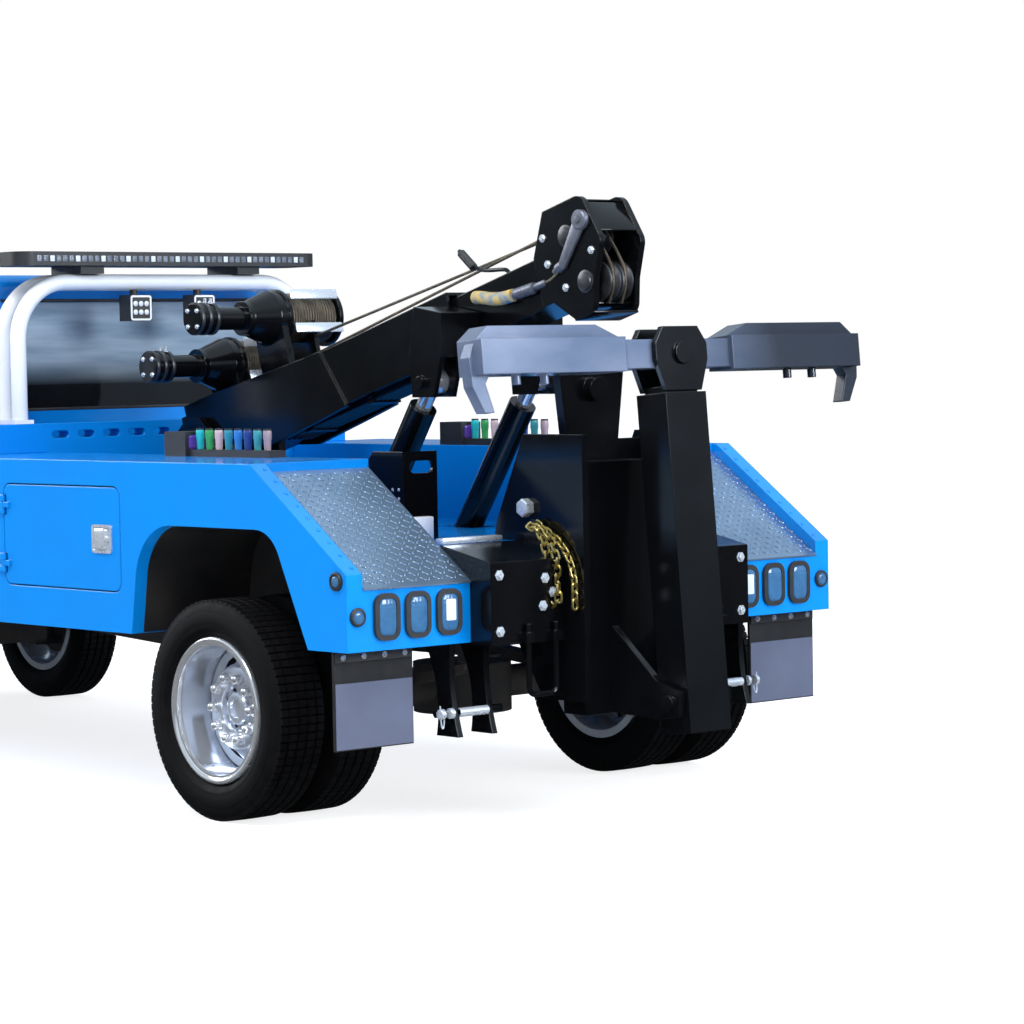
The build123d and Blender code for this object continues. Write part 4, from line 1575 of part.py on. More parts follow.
def chain_link(centre, way, face):
    """One link: round wire bent along a way, lying in the plane square to a face direction."""
    base = Plane(origin=centre, x_dir=way, z_dir=face)
    half = LINK_LONG / 2
    with BuildLine(base) as bend:
        Line((0, LINK_BEND), (half, LINK_BEND))
        ThreePointArc((half, LINK_BEND), (half + LINK_BEND, 0), (half, -LINK_BEND))
        Line((half, -LINK_BEND), (-half, -LINK_BEND))
        ThreePointArc((-half, -LINK_BEND), (-half - LINK_BEND, 0), (-half, LINK_BEND))
        Line((-half, LINK_BEND), (0, LINK_BEND))
    with BuildSketch(Plane(origin=base.from_local_coords((0, LINK_BEND, 0)), z_dir=way)) as wire:
        Circle(LINK_R)
    sweep(wire.sketch, path=bend.wire())


with BuildPart() as safety_chains:
    heading = CHAIN_FALL
    hang = (LINK_PITCH - LINK_LONG) / 2 - (LINK_BEND - LINK_R * 2 - LINK_GAP)
    joint = Vector(CHAIN_X, CHAIN_Y, CHAIN_Z) + Vector(cos(radians(heading)), 0,
                                                       sin(radians(heading))) * hang
    for step, turn in enumerate(CHAIN_TURNS):
        heading += turn
        way = Vector(-cos(radians(heading)), 0, -sin(radians(heading)))
        face = Vector(0, 1, 0) if step % 2 == 0 else Vector(0, 1, 0).cross(way)
        chain_link(joint + way * LINK_PITCH / 2, way, face)
        joint = joint + way * LINK_PITCH
safety_chains.part.label = "safety chain"
export_step(safety_chains.part, "parts/safety_chains.step")

# Spade brackets below the tail, two to a side, with a chain pin through each pair
with BuildPart() as hitch_brackets:
    for side in (1, -1):
        for plate_y, top_z in ((HITCH_IN_Y, TAIL_LOW - SEAT), (HITCH_OUT_Y, BODY_LOW - SEAT)):
            near, far = sorted((side * plate_y, side * (plate_y + HITCH_PLATE)))
            with BuildSketch(y_plane(near)) as spade:
                with BuildLine():
                    Line((-HITCH_BACK, top_z), (-HITCH_FRONT, top_z))
                    ThreePointArc((-HITCH_FRONT, top_z), (HITCH_WAIST - HITCH_FRONT,
                                                          (top_z + HITCH_LOW) / 2),
                                  (HITCH_TAPER - HITCH_FRONT, HITCH_LOW))
                    Line((HITCH_TAPER - HITCH_FRONT, HITCH_LOW), (HITCH_FLARE - HITCH_BACK, HITCH_LOW))
                    ThreePointArc((HITCH_FLARE - HITCH_BACK, HITCH_LOW),
                                  (-HITCH_BACK, (top_z + HITCH_LOW) / 2),
                                  (-HITCH_BACK, top_z))
                make_face()
            extrude(spade.sketch, amount=far - near)
        rod((HITCH_PIN_X, side * (HITCH_IN_Y - HITCH_STUB), HITCH_PIN_Z),
            (HITCH_PIN_X, side * (HITCH_OUT_Y + HITCH_PLATE + HITCH_STUB), HITCH_PIN_Z), HITCH_PIN_R)
hitch_brackets.part.label = "hitch brackets"
export_step(hitch_brackets.part, "parts/hitch_brackets.step")
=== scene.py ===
"""Dressing of a light wrecker: paint, tyres, tread plate, lamps, rigging and trim on its frame."""
import math

import bpy
from mathutils import Matrix, Vector


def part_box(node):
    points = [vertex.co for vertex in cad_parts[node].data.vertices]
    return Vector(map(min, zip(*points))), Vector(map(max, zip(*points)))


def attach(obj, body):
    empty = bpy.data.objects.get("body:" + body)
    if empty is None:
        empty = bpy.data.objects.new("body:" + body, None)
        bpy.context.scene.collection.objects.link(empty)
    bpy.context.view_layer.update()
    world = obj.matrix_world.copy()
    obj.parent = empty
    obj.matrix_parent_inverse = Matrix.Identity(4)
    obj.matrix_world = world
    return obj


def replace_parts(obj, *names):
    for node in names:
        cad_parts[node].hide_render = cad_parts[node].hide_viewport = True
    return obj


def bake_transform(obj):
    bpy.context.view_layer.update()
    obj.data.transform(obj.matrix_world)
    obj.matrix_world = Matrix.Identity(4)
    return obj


bl_info = {
    "name": "Light wrecker dressing",
    "version": (1, 0, 0),
    "blender": (4, 5, 0),
    "location": "3D View > Sidebar > Wrecker",
    "description": "Models the finishes and small fittings of a light wrecker on its solid frame",
    "category": "Object",
}

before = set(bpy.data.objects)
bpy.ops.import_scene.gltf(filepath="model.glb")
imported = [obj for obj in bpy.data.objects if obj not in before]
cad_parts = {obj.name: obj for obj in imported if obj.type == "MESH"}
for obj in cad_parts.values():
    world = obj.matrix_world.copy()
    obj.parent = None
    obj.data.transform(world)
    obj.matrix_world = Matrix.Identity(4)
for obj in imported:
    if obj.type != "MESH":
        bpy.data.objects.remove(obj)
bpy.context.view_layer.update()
SIDES = (("left", 1), ("right", -1))
REAR_AXLE = sum(c.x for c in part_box("tyres_rear_left")) / 2
TYRE_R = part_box("tyres_rear_left")[1].z / 2
FRONT_AXLE = sum(c.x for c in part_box("tyre_front_left")) / 2
BOOM_FOOT = Vector((REAR_AXLE + 1.5, 0, 1.352))
BOOM_RISE = math.radians(15.5)
SHEAVE_SPOTS = ((2.385, 0.118), (2.440, -0.070))
DRUM_SPOTS = ((0.1284, 0.2757), (0.4875, 0.3733))
HEAD_SKIN = 0.1124
DRUM_R = 0.0985
DRUM_END_Y = -0.2255
ROPE_R = 0.0061
ROPE_PITCH = 0.0124
ROPE_TURNS = 18
TURN_STEPS = 14
BODY_HALF = 1.198
BODY_TOP = 1.305
SLOPE_FRONT = REAR_AXLE - 0.269
SLOPE_RUN = 0.543
SLOPE_DROP = 0.375
RIVETS = 9
RIVET_Y = 1.150
DECK_TOP = 1.0003
TAIL_X = REAR_AXLE - 0.925
MAST_SKIN = 0.2903
HITCH_PIN_Z = 0.415
LATCH_X = REAR_AXLE + 0.668
LATCH_Z = 1.010
LAMP_Z = 0.776
LEVER_X = REAR_AXLE + 0.284
LEVER_PITCH = 0.062
LEVER_Y = 0.700
FINISH = {}
BACK, AHEAD, UP = (-1, 0, 0), (1, 0, 0), (0, 0, 1)

# Turned sections, as distance along the axis and radius
NUT = ((0, 0.0215), (0.004, 0.0215), (0.0055, 0.0185), (0.026, 0.0175), (0.034, 0.0145), (0.0385, 0.008),
       (0.0395, 0.002))
DEEP_LINER = ((0.000, 0.2335), (0.012, 0.2335), (0.014, 0.2315), (0.012, 0.225), (0.008, 0.212),
              (0.008, 0.198), (0.014, 0.190), (0.046, 0.164), (0.060, 0.157), (0.070, 0.150),
              (0.072, 0.144),
              (0.072, 0.088), (0.060, 0.083), (0.050, 0.081), (0.049, 0.062), (0.064, 0.060),
              (0.070, 0.055),
              (0.072, 0.048), (0.072, 0.036), (0.060, 0.034), (0.058, 0.0006), (0.045, 0.0006),
              (0.040, 0.15), (0.002, 0.188))
FLUSH_LINER = ((0.0003, 0.088), (0.012, 0.0885), (0.014, 0.0845), (0.0835, 0.0842), (0.0915, 0.080),
               (0.0945, 0.066), (0.0945, 0.0006), (0.0003, 0.0006))
RIM_LIP = ((0.0, 0.2675), (0.004, 0.2665), (0.007, 0.262), (0.007, 0.257), (0.003, 0.249),
           (-0.004, 0.2400),
           (-0.020, 0.2375), (-0.022, 0.2360), (-0.006, 0.2360), (0.0, 0.2375))
RIVET = ((0, 0.008), (0.0012, 0.0078), (0.003, 0.005), (0.0036, 0.001))
MARKER_RING = ((0, 0.033), (0.009, 0.033), (0.012, 0.030), (0.0125, 0.024), (0.006, 0.022),
               (0.006, 0.002))
MARKER_DOME = ((0.005, 0.0215), (0.010, 0.020), (0.013, 0.014), (0.014, 0.004))
LATCH_LOCK = ((0, 0.011), (0.007, 0.011), (0.008, 0.009), (0.0085, 0.004))
LEVER_GRIP = ((0, 0.0095), (0.003, 0.0125), (0.010, 0.0135), (0.040, 0.0145), (0.048, 0.0165),
              (0.072, 0.0165), (0.080, 0.0145), (0.0835, 0.008), (0.0845, 0.002))
PIN_HEAD = ((0, 0.042), (0.004, 0.042), (0.006, 0.034), (0.012, 0.033), (0.014, 0.028), (0.0145, 0.006))
STRAP_BOSS = ((0, 0.036), (0.020, 0.036), (0.024, 0.032), (0.025, 0.014), (0.030, 0.013), (0.031, 0.004))
STRAP_SOCKET = ((0, 0.017), (0.03, 0.019), (0.035, 0.014), (0.060, 0.010), (0.062, 0.006))
FERRULE = ((0, 0.008), (0.004, 0.0135), (0.058, 0.0135), (0.064, 0.010), (0.066, 0.006))
LEVER_SLEEVE = ((0, 0.013), (0.004, 0.0165), (0.094, 0.0165), (0.100, 0.012), (0.102, 0.004))
MOTOR_BAND = ((0, 0.0622), (0, 0.0655), (0.002, 0.0665), (0.014, 0.0665), (0.016, 0.0655),
              (0.016, 0.0622))
STUD = ((0, 0.011), (0.006, 0.011), (0.007, 0.006), (0.022, 0.006), (0.023, 0.003))
MAST_BOLT = ((0, 0.034), (0.030, 0.034), (0.034, 0.029), (0.035, 0.010))
RACK_DOT = ((0, 0.0065), (0.0015, 0.006), (0.003, 0.002))
PIN_COLLAR = ((0, 0.019), (0.014, 0.019), (0.017, 0.016), (0.018, 0.006))
PIN_SLEEVE = ((0, 0.0143), (0, 0.0165), (0.134, 0.0165), (0.134, 0.0143))
DIODE = ((0, 0.012), (0.004, 0.0115), (0.006, 0.006), (0.0065, 0.001))
HEADLAMP_DOME = ((0, 1.0), (0.004, 1.0), (0.008, 0.93), (0.011, 0.7), (0.0125, 0.3))
WIPER_PIVOT = ((-0.02, 0.014), (0.006, 0.014), (0.010, 0.010), (0.011, 0.003))
HANDLE_TINTS = ((0.4, 0.3, 0.34), (0.05, 0.35, 0.4), (0.02, 0.06, 0.3), (0.03, 0.22, 0.65),
                (0.03, 0.3, 0.42), (0.75, 0.55, 0.6), (0.05, 0.42, 0.12), (0.02, 0.55, 0.6))


# Shared ways of working


def fresh():
    """Object mode with nothing selected."""
    if bpy.context.object and bpy.context.object.mode != "OBJECT":
        bpy.ops.object.mode_set(mode="OBJECT")
    bpy.ops.object.select_all(action="DESELECT")


def named(name):
    """Names the active piece and its mesh."""
    piece = bpy.context.object
    piece.name = name
    piece.data.name = name
    return piece


def edit(piece):
    """Edit mode on one piece with all of it selected."""
    fresh()
    bpy.context.view_layer.objects.active = piece
    piece.select_set(True)
    bpy.ops.object.mode_set(mode="EDIT")
    bpy.ops.mesh.select_all(action="SELECT")


def done(piece, angle=35):
    """Back to object mode with faces turned outwards and soft shading up to an angle."""
    if bpy.context.object.mode != "EDIT":
        edit(piece)
    bpy.ops.mesh.select_all(action="SELECT")
    bpy.ops.mesh.normals_make_consistent(inside=False)
    bpy.ops.object.mode_set(mode="OBJECT")
    bpy.ops.object.shade_smooth_by_angle(angle=math.radians(angle))
    return piece


def place(piece, matrix):
    """Sets a piece down by a matrix and puts the place into its mesh."""
    fresh()
    bpy.context.view_layer.objects.active = piece
    piece.select_set(True)
    piece.matrix_world = matrix
    bpy.context.view_layer.update()
    bpy.ops.object.transform_apply(location=True, rotation=True, scale=True)
    return piece


def aim(spot, way, up=(0, 0, 1)):
    """Matrix that turns local Z along a way and local Y near up, at a spot."""
    z = Vector(way).normalized()
    y = Vector(up)
    y = y - z * y.dot(z)
    if y.length < 1e-4:
        y = Vector((1, 0, 0)) - z * z.x
    y.normalize()
    x = y.cross(z)
    return Matrix.Translation(Vector(spot)) @ Matrix((x, y, z)).transposed().to_4x4()


def copy_of(piece, name, matrix=None):
    """A copy with its own mesh."""
    twin = piece.copy()
    twin.data = piece.data.copy()
    twin.name = name
    twin.data.name = name
    bpy.context.scene.collection.objects.link(twin)
    if matrix is not None:
        place(twin, matrix)
    return twin


def joined(name, pieces):
    """Several pieces made one."""
    fresh()
    for piece in pieces:
        piece.select_set(True)
    bpy.context.view_layer.objects.active = pieces[0]
    if len(pieces) > 1:
        bpy.ops.object.join()
    return named(name)


def dropped(piece):
    """Removes a pattern piece once it has been copied."""
    bpy.data.objects.remove(piece)


def coated(piece, finish):
    """Gives a piece its finish."""
    piece.data.materials.clear()
    piece.data.materials.append(FINISH[finish])
    return piece


def fitted(piece, body, finish):
    """Gives a piece its finish and its body."""
    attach(coated(piece, finish), body)
    return piece


def boom_spot(along, off, across=0.0):
    """Point along the boom from its foot pin, off its centre line and across it."""
    c, s = math.cos(BOOM_RISE), math.sin(BOOM_RISE)
    return BOOM_FOOT + Vector((s * off - c * along, across, s * along + c * off))


def pick(piece, test):
    """Selects the faces whose centre and normal pass a test, in edit mode."""
    bpy.ops.mesh.select_all(action="DESELECT")
    bpy.ops.object.mode_set(mode="OBJECT")
    for face in piece.data.polygons:
        face.select = bool(test(face.center, face.normal))
    bpy.ops.object.mode_set(mode="EDIT")


def ring(x, y, z, radius, count, first=0.0):
    """Points round an axle that runs across the truck."""
    turns = [2 * math.pi * (step + first) / count for step in range(count)]
    return [(x + radius * math.cos(turn), y, z + radius * math.sin(turn)) for turn in turns]


def slab(name, corner, opposite, edge=0.004, steps=2):
    """Block between two corners with eased edges."""
    fresh()
    low = Vector(tuple(map(min, corner, opposite)))
    high = Vector(tuple(map(max, corner, opposite)))
    bpy.ops.mesh.primitive_cube_add(size=1, location=(low + high) / 2)
    piece = named(name)
    piece.scale = high - low
    bpy.ops.object.transform_apply(location=True, rotation=True, scale=True)
    edit(piece)
    bpy.ops.mesh.bevel(offset=edge, segments=steps, affect="EDGES")
    return done(piece)


def turned(name, rows, spot=(0, 0, 0), way=(0, 0, 1), sides=24, angle=35):
    """Round piece: a disc drawn out along its axis through rows of distance and radius."""
    fresh()
    last, radius = rows[0]
    bpy.ops.mesh.primitive_circle_add(vertices=sides, radius=radius, fill_type="NGON",
                                      location=(0, 0, last))
    piece = named(name)
    bpy.ops.object.transform_apply(location=True, rotation=True, scale=True)
    edit(piece)
    for distance, wide in rows[1:]:
        bpy.ops.mesh.extrude_region_move(TRANSFORM_OT_translate={"value": (0, 0, distance - last)})
        grow = wide / radius
        bpy.ops.transform.resize(value=(grow, grow, 1), center_override=(0, 0, distance))
        last, radius = distance, wide
    done(piece, angle)
    return place(piece, aim(spot, way))


def drawn(name, kind, points, cyclic, **settings):
    """Mesh of a curve through points, left as the active piece."""
    fresh()
    line = bpy.data.curves.new(name, "CURVE")
    line.dimensions = "3D"
    for key, value in settings.items():
        setattr(line, key, value)
    run = line.splines.new(kind)
    run.points.add(len(points) - 1)
    for spot, value in zip(run.points, points):
        spot.co = (*value, 1)
    run.use_cyclic_u = cyclic
    if kind == "NURBS":
        run.use_endpoint_u = not cyclic
        run.order_u = 3
    piece = bpy.data.objects.new(name, line)
    bpy.context.scene.collection.objects.link(piece)
    bpy.context.view_layer.objects.active = piece
    piece.select_set(True)
    bpy.ops.object.convert(target="MESH")
    return named(name)


def spun(name, section, steps=32, spot=(0, 0, 0), way=(0, 0, 1), angle=35):
    """Ring: a closed section of distance and radius turned once round its axis."""
    piece = drawn(name, "POLY", [(radius, 0, along) for along, radius in section], True)
    edit(piece)
    bpy.ops.mesh.spin(steps=steps, angle=2 * math.pi, center=(0, 0, 0), axis=(0, 0, 1))
    bpy.ops.mesh.select_all(action="SELECT")
    bpy.ops.mesh.remove_doubles(threshold=0.0002)
    done(piece, angle)
    return place(piece, aim(spot, way))


def bar(name, start, end, wide, thick, face, taper=1.0, edge=0.004):
    """Flat bar from one point to another with its broad face turned one way."""
    way = Vector(end) - Vector(start)
    piece = slab(name, (-wide / 2, -thick / 2, 0), (wide / 2, thick / 2, way.length), edge)
    edit(piece)
    pick(piece, lambda c, n: c.z > way.length - edge * 1.5)
    bpy.ops.transform.resize(value=(taper, 1, 1), center_override=(0, 0, way.length))
    done(piece)
    return place(piece, aim(start, way, face))


def pipe(name, points, radius, sides=6, steps=8, cyclic=False):
    """Bent round bar or hose along a smooth line."""
    return done(drawn(name, "NURBS", points, cyclic, bevel_depth=radius, bevel_resolution=sides,
                      use_fill_caps=True, resolution_u=steps))


def rounded(name, wide, high, rounding, deep):
    """Plate with rounded corners, left in edit mode with its front face selected."""
    fresh()
    bpy.ops.mesh.primitive_plane_add(size=1)
    piece = named(name)
    piece.scale = (wide, high, 1)
    bpy.ops.object.transform_apply(location=True, rotation=True, scale=True)
    edit(piece)
    bpy.ops.mesh.bevel(offset=rounding, segments=7, affect="VERTICES")
    bpy.ops.mesh.select_all(action="SELECT")
    bpy.ops.mesh.extrude_region_move(TRANSFORM_OT_translate={"value": (0, 0, deep)})
    pick(piece, lambda c, n: c.z > deep * 0.9 and abs(n.z) > 0.9)
    return piece


def tray(name, wide, high, rounding, deep, wall, sink, matrix):
    """Rounded frame with a sunk face: a lamp bezel, pocket or latch plate, facing local Z."""
    piece = rounded(name, wide, high, rounding, deep)
    bpy.ops.mesh.inset(thickness=wall)
    bpy.ops.mesh.extrude_region_move(TRANSFORM_OT_translate={"value": (0, 0, -sink)})
    done(piece)
    return place(piece, matrix)


def pad(name, wide, high, rounding, deep, crown, matrix):
    """Rounded lens or plate with a crowned face, facing local Z."""
    piece = rounded(name, wide, high, rounding, deep)
    top = deep
    for shrink, share in ((0.94, 0.45), (0.8, 0.3), (0.62, 0.25)):
        bpy.ops.mesh.extrude_region_move(TRANSFORM_OT_translate={"value": (0, 0, crown * share)})
        top += crown * share
        bpy.ops.transform.resize(value=(shrink, shrink, 1), center_override=(0, 0, top))
    done(piece, 50)
    return place(piece, matrix)


def bolts(name, spots, way, radius=0.009, tall=0.007):
    """Row of hex bolt heads on washers."""
    head = turned("bolt_head", [(0, radius * 1.5), (tall * 0.25, radius * 1.5), (tall * 0.26, radius),
                                (tall, radius),
                                (tall * 1.08, radius * 0.86)], sides=6, angle=20)
    rows = [copy_of(head, "bolt", aim(spot, way)) for spot in spots]
    dropped(head)
    return joined(name, rows)


def chain(name, points, pitch=0.0284):
    """Round links along a line of points, every other one turned over."""
    oval = [(-0.019, 0), (-0.019, 0.010), (-0.008, 0.0125), (0.008, 0.0125), (0.019, 0.010), (0.019, 0),
            (0.019, -0.010), (0.008, -0.0125), (-0.008, -0.0125), (-0.019, -0.010)]
    link = pipe("link", [(0, y, z) for z, y in oval], 0.0044, 1, 3, True)
    points = [Vector(point) for point in points]
    links, left = [], 0.0
    for start, end in zip(points, points[1:]):
        way = end - start
        while left < way.length:
            turn = Matrix.Rotation(math.radians(90 * (len(links) % 2) + 45), 4, "Z")
            lie = aim(start + way.normalized() * left, way, (0.3, 1, 0.1)) @ turn
            links.append(copy_of(link, "link_copy", lie))
            left += pitch
        left -= way.length
    dropped(link)
    return joined(name, links)


# Finishes


def texture(material, kind, **values):
    """Texture node on Object coordinates with its inputs set."""
    nodes, links = material.node_tree.nodes, material.node_tree.links
    node = nodes.new(kind)
    for key, value in values.items():
        node.inputs[key].default_value = value
    links.new(nodes.new("ShaderNodeTexCoord").outputs["Object"], node.inputs["Vector"])
    return node


def relief(material, height, strength, distance):
    """Bump on a material from a texture's height."""
    nodes, links = material.node_tree.nodes, material.node_tree.links
    lift = nodes.new("ShaderNodeBump")
    lift.inputs["Strength"].default_value = strength
    lift.inputs["Distance"].default_value = distance
    links.new(height, lift.inputs["Height"])
    links.new(lift.outputs["Normal"], nodes["Principled BSDF"].inputs["Normal"])
    return lift


def finish(name, colour, rough, metal=0.0, second=None, scale=6.0, amount=0.5, bump=0.0, grain=120.0,
           spec=0.5,
           coat=0.0, stretch=(1, 1, 1), spread=0.12, eased=0.0):
    """Surface finish with clouded colour, uneven gloss and a fine grain, on Object coordinates."""
    material = bpy.data.materials.new(name)
    material.use_nodes = True
    nodes, links = material.node_tree.nodes, material.node_tree.links
    shader = nodes["Principled BSDF"]
    turn = texture(material, "ShaderNodeMapping", Scale=stretch)
    cloud = nodes.new("ShaderNodeTexNoise")
    cloud.inputs["Scale"].default_value = scale
    cloud.inputs["Detail"].default_value = 5
    links.new(turn.outputs["Vector"], cloud.inputs["Vector"])
    mix = nodes.new("ShaderNodeMix")
    mix.data_type = "RGBA"
    mix.inputs["A"].default_value = (*colour, 1)
    mix.inputs["B"].default_value = (*(second or [c * 0.82 for c in colour]), 1)
    reach = nodes.new("ShaderNodeMapRange")
    reach.inputs["From Min"].default_value = 0.35
    reach.inputs["From Max"].default_value = 0.75
    reach.inputs["To Max"].default_value = amount
    links.new(cloud.outputs["Fac"], reach.inputs["Value"])
    links.new(reach.outputs["Result"], mix.inputs["Factor"])
    links.new(mix.outputs["Result"], shader.inputs["Base Color"])
    gloss = nodes.new("ShaderNodeMapRange")
    gloss.inputs["To Min"].default_value = max(rough - spread / 2, 0.02)
    gloss.inputs["To Max"].default_value = min(rough + spread, 1.0)
    links.new(cloud.outputs["Fac"], gloss.inputs["Value"])
    links.new(gloss.outputs["Result"], shader.inputs["Roughness"])
    shader.inputs["Metallic"].default_value = metal
    shader.inputs["Specular IOR Level"].default_value = spec
    shader.inputs["Coat Weight"].default_value = coat
    shader.inputs["Coat Roughness"].default_value = 0.06
    if bump:
        fine = nodes.new("ShaderNodeTexNoise")
        fine.inputs["Scale"].default_value = grain
        fine.inputs["Detail"].default_value = 3
        links.new(turn.outputs["Vector"], fine.inputs["Vector"])
        lift = relief(material, fine.outputs["Fac"], bump, 0.002)
        if eased:
            edge = nodes.new("ShaderNodeBevel")
            edge.samples = 6
            edge.inputs["Radius"].default_value = eased
            links.new(edge.outputs["Normal"], lift.inputs["Normal"])
    FINISH[name] = material
    return material


def graded(material, axis, low, high, tint):
    """Second colour that takes over along one axis of the object."""
    nodes, links = material.node_tree.nodes, material.node_tree.links
    shader = nodes["Principled BSDF"]
    base = shader.inputs["Base Color"].links[0].from_socket
    split = texture(material, "ShaderNodeSeparateXYZ")
    reach = nodes.new("ShaderNodeMapRange")
    reach.inputs["From Min"].default_value = low
    reach.inputs["From Max"].default_value = high
    links.new(split.outputs[axis], reach.inputs["Value"])
    mix = nodes.new("ShaderNodeMix")
    mix.data_type = "RGBA"
    links.new(reach.outputs["Result"], mix.inputs["Factor"])
    links.new(base, mix.inputs["A"])
    mix.inputs["B"].default_value = (*tint, 1)
    links.new(mix.outputs["Result"], shader.inputs["Base Color"])
    return material


def sky_painted_glazing(name, colour, second, clear):
    """Tinted pane painted with a sky reflection: light blue with faint level streaks of painted cloud."""
    material = finish(name, colour, 0.03, second=second, scale=2.2, amount=0.9, spread=0.05,
                      stretch=(1, 0.8, 7))
    shader = material.node_tree.nodes["Principled BSDF"]
    shader.inputs["Transmission Weight"].default_value = clear
    shader.inputs["IOR"].default_value = 1.45
    return material


def cellular(name, colour, second, cells):
    """Lens with small moulded cells."""
    material = finish(name, colour, 0.12, second=second, scale=30, amount=0.4, coat=0.5)
    cell = texture(material, "ShaderNodeTexVoronoi", Scale=cells, Randomness=0.0)
    relief(material, cell.outputs["Distance"], 0.5, 0.003)


def woven(name, colour, second, count):
    """Seat cloth with a crossed weave."""
    material = finish(name, colour, 0.85, second=second, scale=14, amount=0.6, spec=0.2)
    cross = material.node_tree.nodes.new("ShaderNodeMath")
    cross.operation = "MULTIPLY"
    for socket, way in zip(cross.inputs, ("X", "Y")):
        wave = texture(material, "ShaderNodeTexWave", Scale=count, Distortion=0.6)
        wave.bands_direction = way
        material.node_tree.links.new(wave.outputs["Fac"], socket)
    relief(material, cross.outputs["Value"], 0.4, 0.001)


def stranded(name, colour, second, pitch):
    """Wire rope with a twisted lay."""
    material = finish(name, colour, 0.45, metal=0.7, second=second, scale=40, amount=0.7)
    wave = texture(material, "ShaderNodeTexWave", Scale=pitch)
    wave.bands_direction = "DIAGONAL"
    relief(material, wave.outputs["Fac"], 0.8, 0.002)


# What a user would change


class WreckerColours(bpy.types.PropertyGroup):
    body: bpy.props.FloatVectorProperty(name="Body paint",
                                        description="Gloss paint of cab and service body",
                                        subtype="COLOR", default=(0.0015, 0.222, 0.70), min=0, max=1)
    boom: bpy.props.FloatVectorProperty(name="Boom paint",
                                        description="Gloss black of boom and wheel lift",
                                        subtype="COLOR", default=(0.0022, 0.0024, 0.003), min=0, max=1)
    hoop: bpy.props.FloatVectorProperty(name="Hoop paint", description="White of the light hoop",
                                        subtype="COLOR", default=(0.78, 0.81, 0.86), min=0, max=1)
    # The crossbar's blue-grey is a painted sky reflection (painted sheen) on black plates, not their paint
    # colour.
    crossbar: bpy.props.FloatVectorProperty(name="Crossbar sheen",
                                            description="Blue-grey sheen of the crossbar plates",
                                            subtype="COLOR", default=(0.085, 0.12, 0.20), min=0, max=1)


class WreckerSizes(bpy.types.PropertyGroup):
    tread_pitch: bpy.props.FloatProperty(name="Lug pitch",
                                         description="Spacing of the raised lugs on the tread plate",
                                         unit="LENGTH", default=0.030, min=0.015)
    groove: bpy.props.FloatProperty(name="Tyre groove", description="Depth of the tyre's tread blocks",
                                    unit="LENGTH", default=0.011, min=0.004)
    blocks: bpy.props.IntProperty(name="Tread blocks", description="Blocks round each tyre rib",
                                  default=84, min=24)
    bolt: bpy.props.FloatProperty(name="Bolt size", description="Radius of the visible bolt heads",
                                  unit="LENGTH", default=0.009, min=0.003)


NODE_FINISH = {
    "body_paint": ("cab_shell", "hood", "front_fenders", "toolbox_left", "toolbox_right",
                   "toolbox_door_left",
                   "toolbox_door_right", "door_left", "door_right", "deck", "headboard"),
    "boom_black": ("boom_stand", "boom_lower", "boom_upper", "winches", "ram_barrels", "tail_housing",
                   "lift_mast",
                   "lift_carriage", "stinger", "stinger_inner", "hitch_brackets", "arm_racks"),
    # crossbar: black plates carrying a painted sky reflection
    "bar_painted_sky_sheen": ("crossbar",),
    "chassis_black": ("frame_rails", "fuel_tank", "wheel_wells"),
    "cast_iron": ("rear_axle", "front_axle", "engine", "knuckle_left", "knuckle_right"),
    "polished": ("rim_front_left", "rim_front_right", "rims_rear_left", "rims_rear_right"),
    "plate_metal": ("tread_plates",),
    # cab and door glass carry a painted sky reflection in their colour
    "glass_painted_sky": ("cab_glass", "door_glass_left", "door_glass_right"),
    "hard_plastic": ("dashboard", "control_levers", "light_bar", "work_lamps", "mirror_left",
                     "mirror_right"),
    "hoop_white": ("light_hoop",),
    "bright_chrome": ("grille", "front_bumper", "ram_rods"),
    "lamp_clear": ("headlamps",),
    "lamp_smoke": ("tail_lamps",),
    "flap_rubber": ("mud_flaps", "tyre_front_left", "tyre_front_right", "tyres_rear_left",
                    "tyres_rear_right"),
    "seat_cloth": ("bench_seat",),
    "bare_steel": ("sheaves",),
    "yellow_zinc": ("safety_chains",),
}


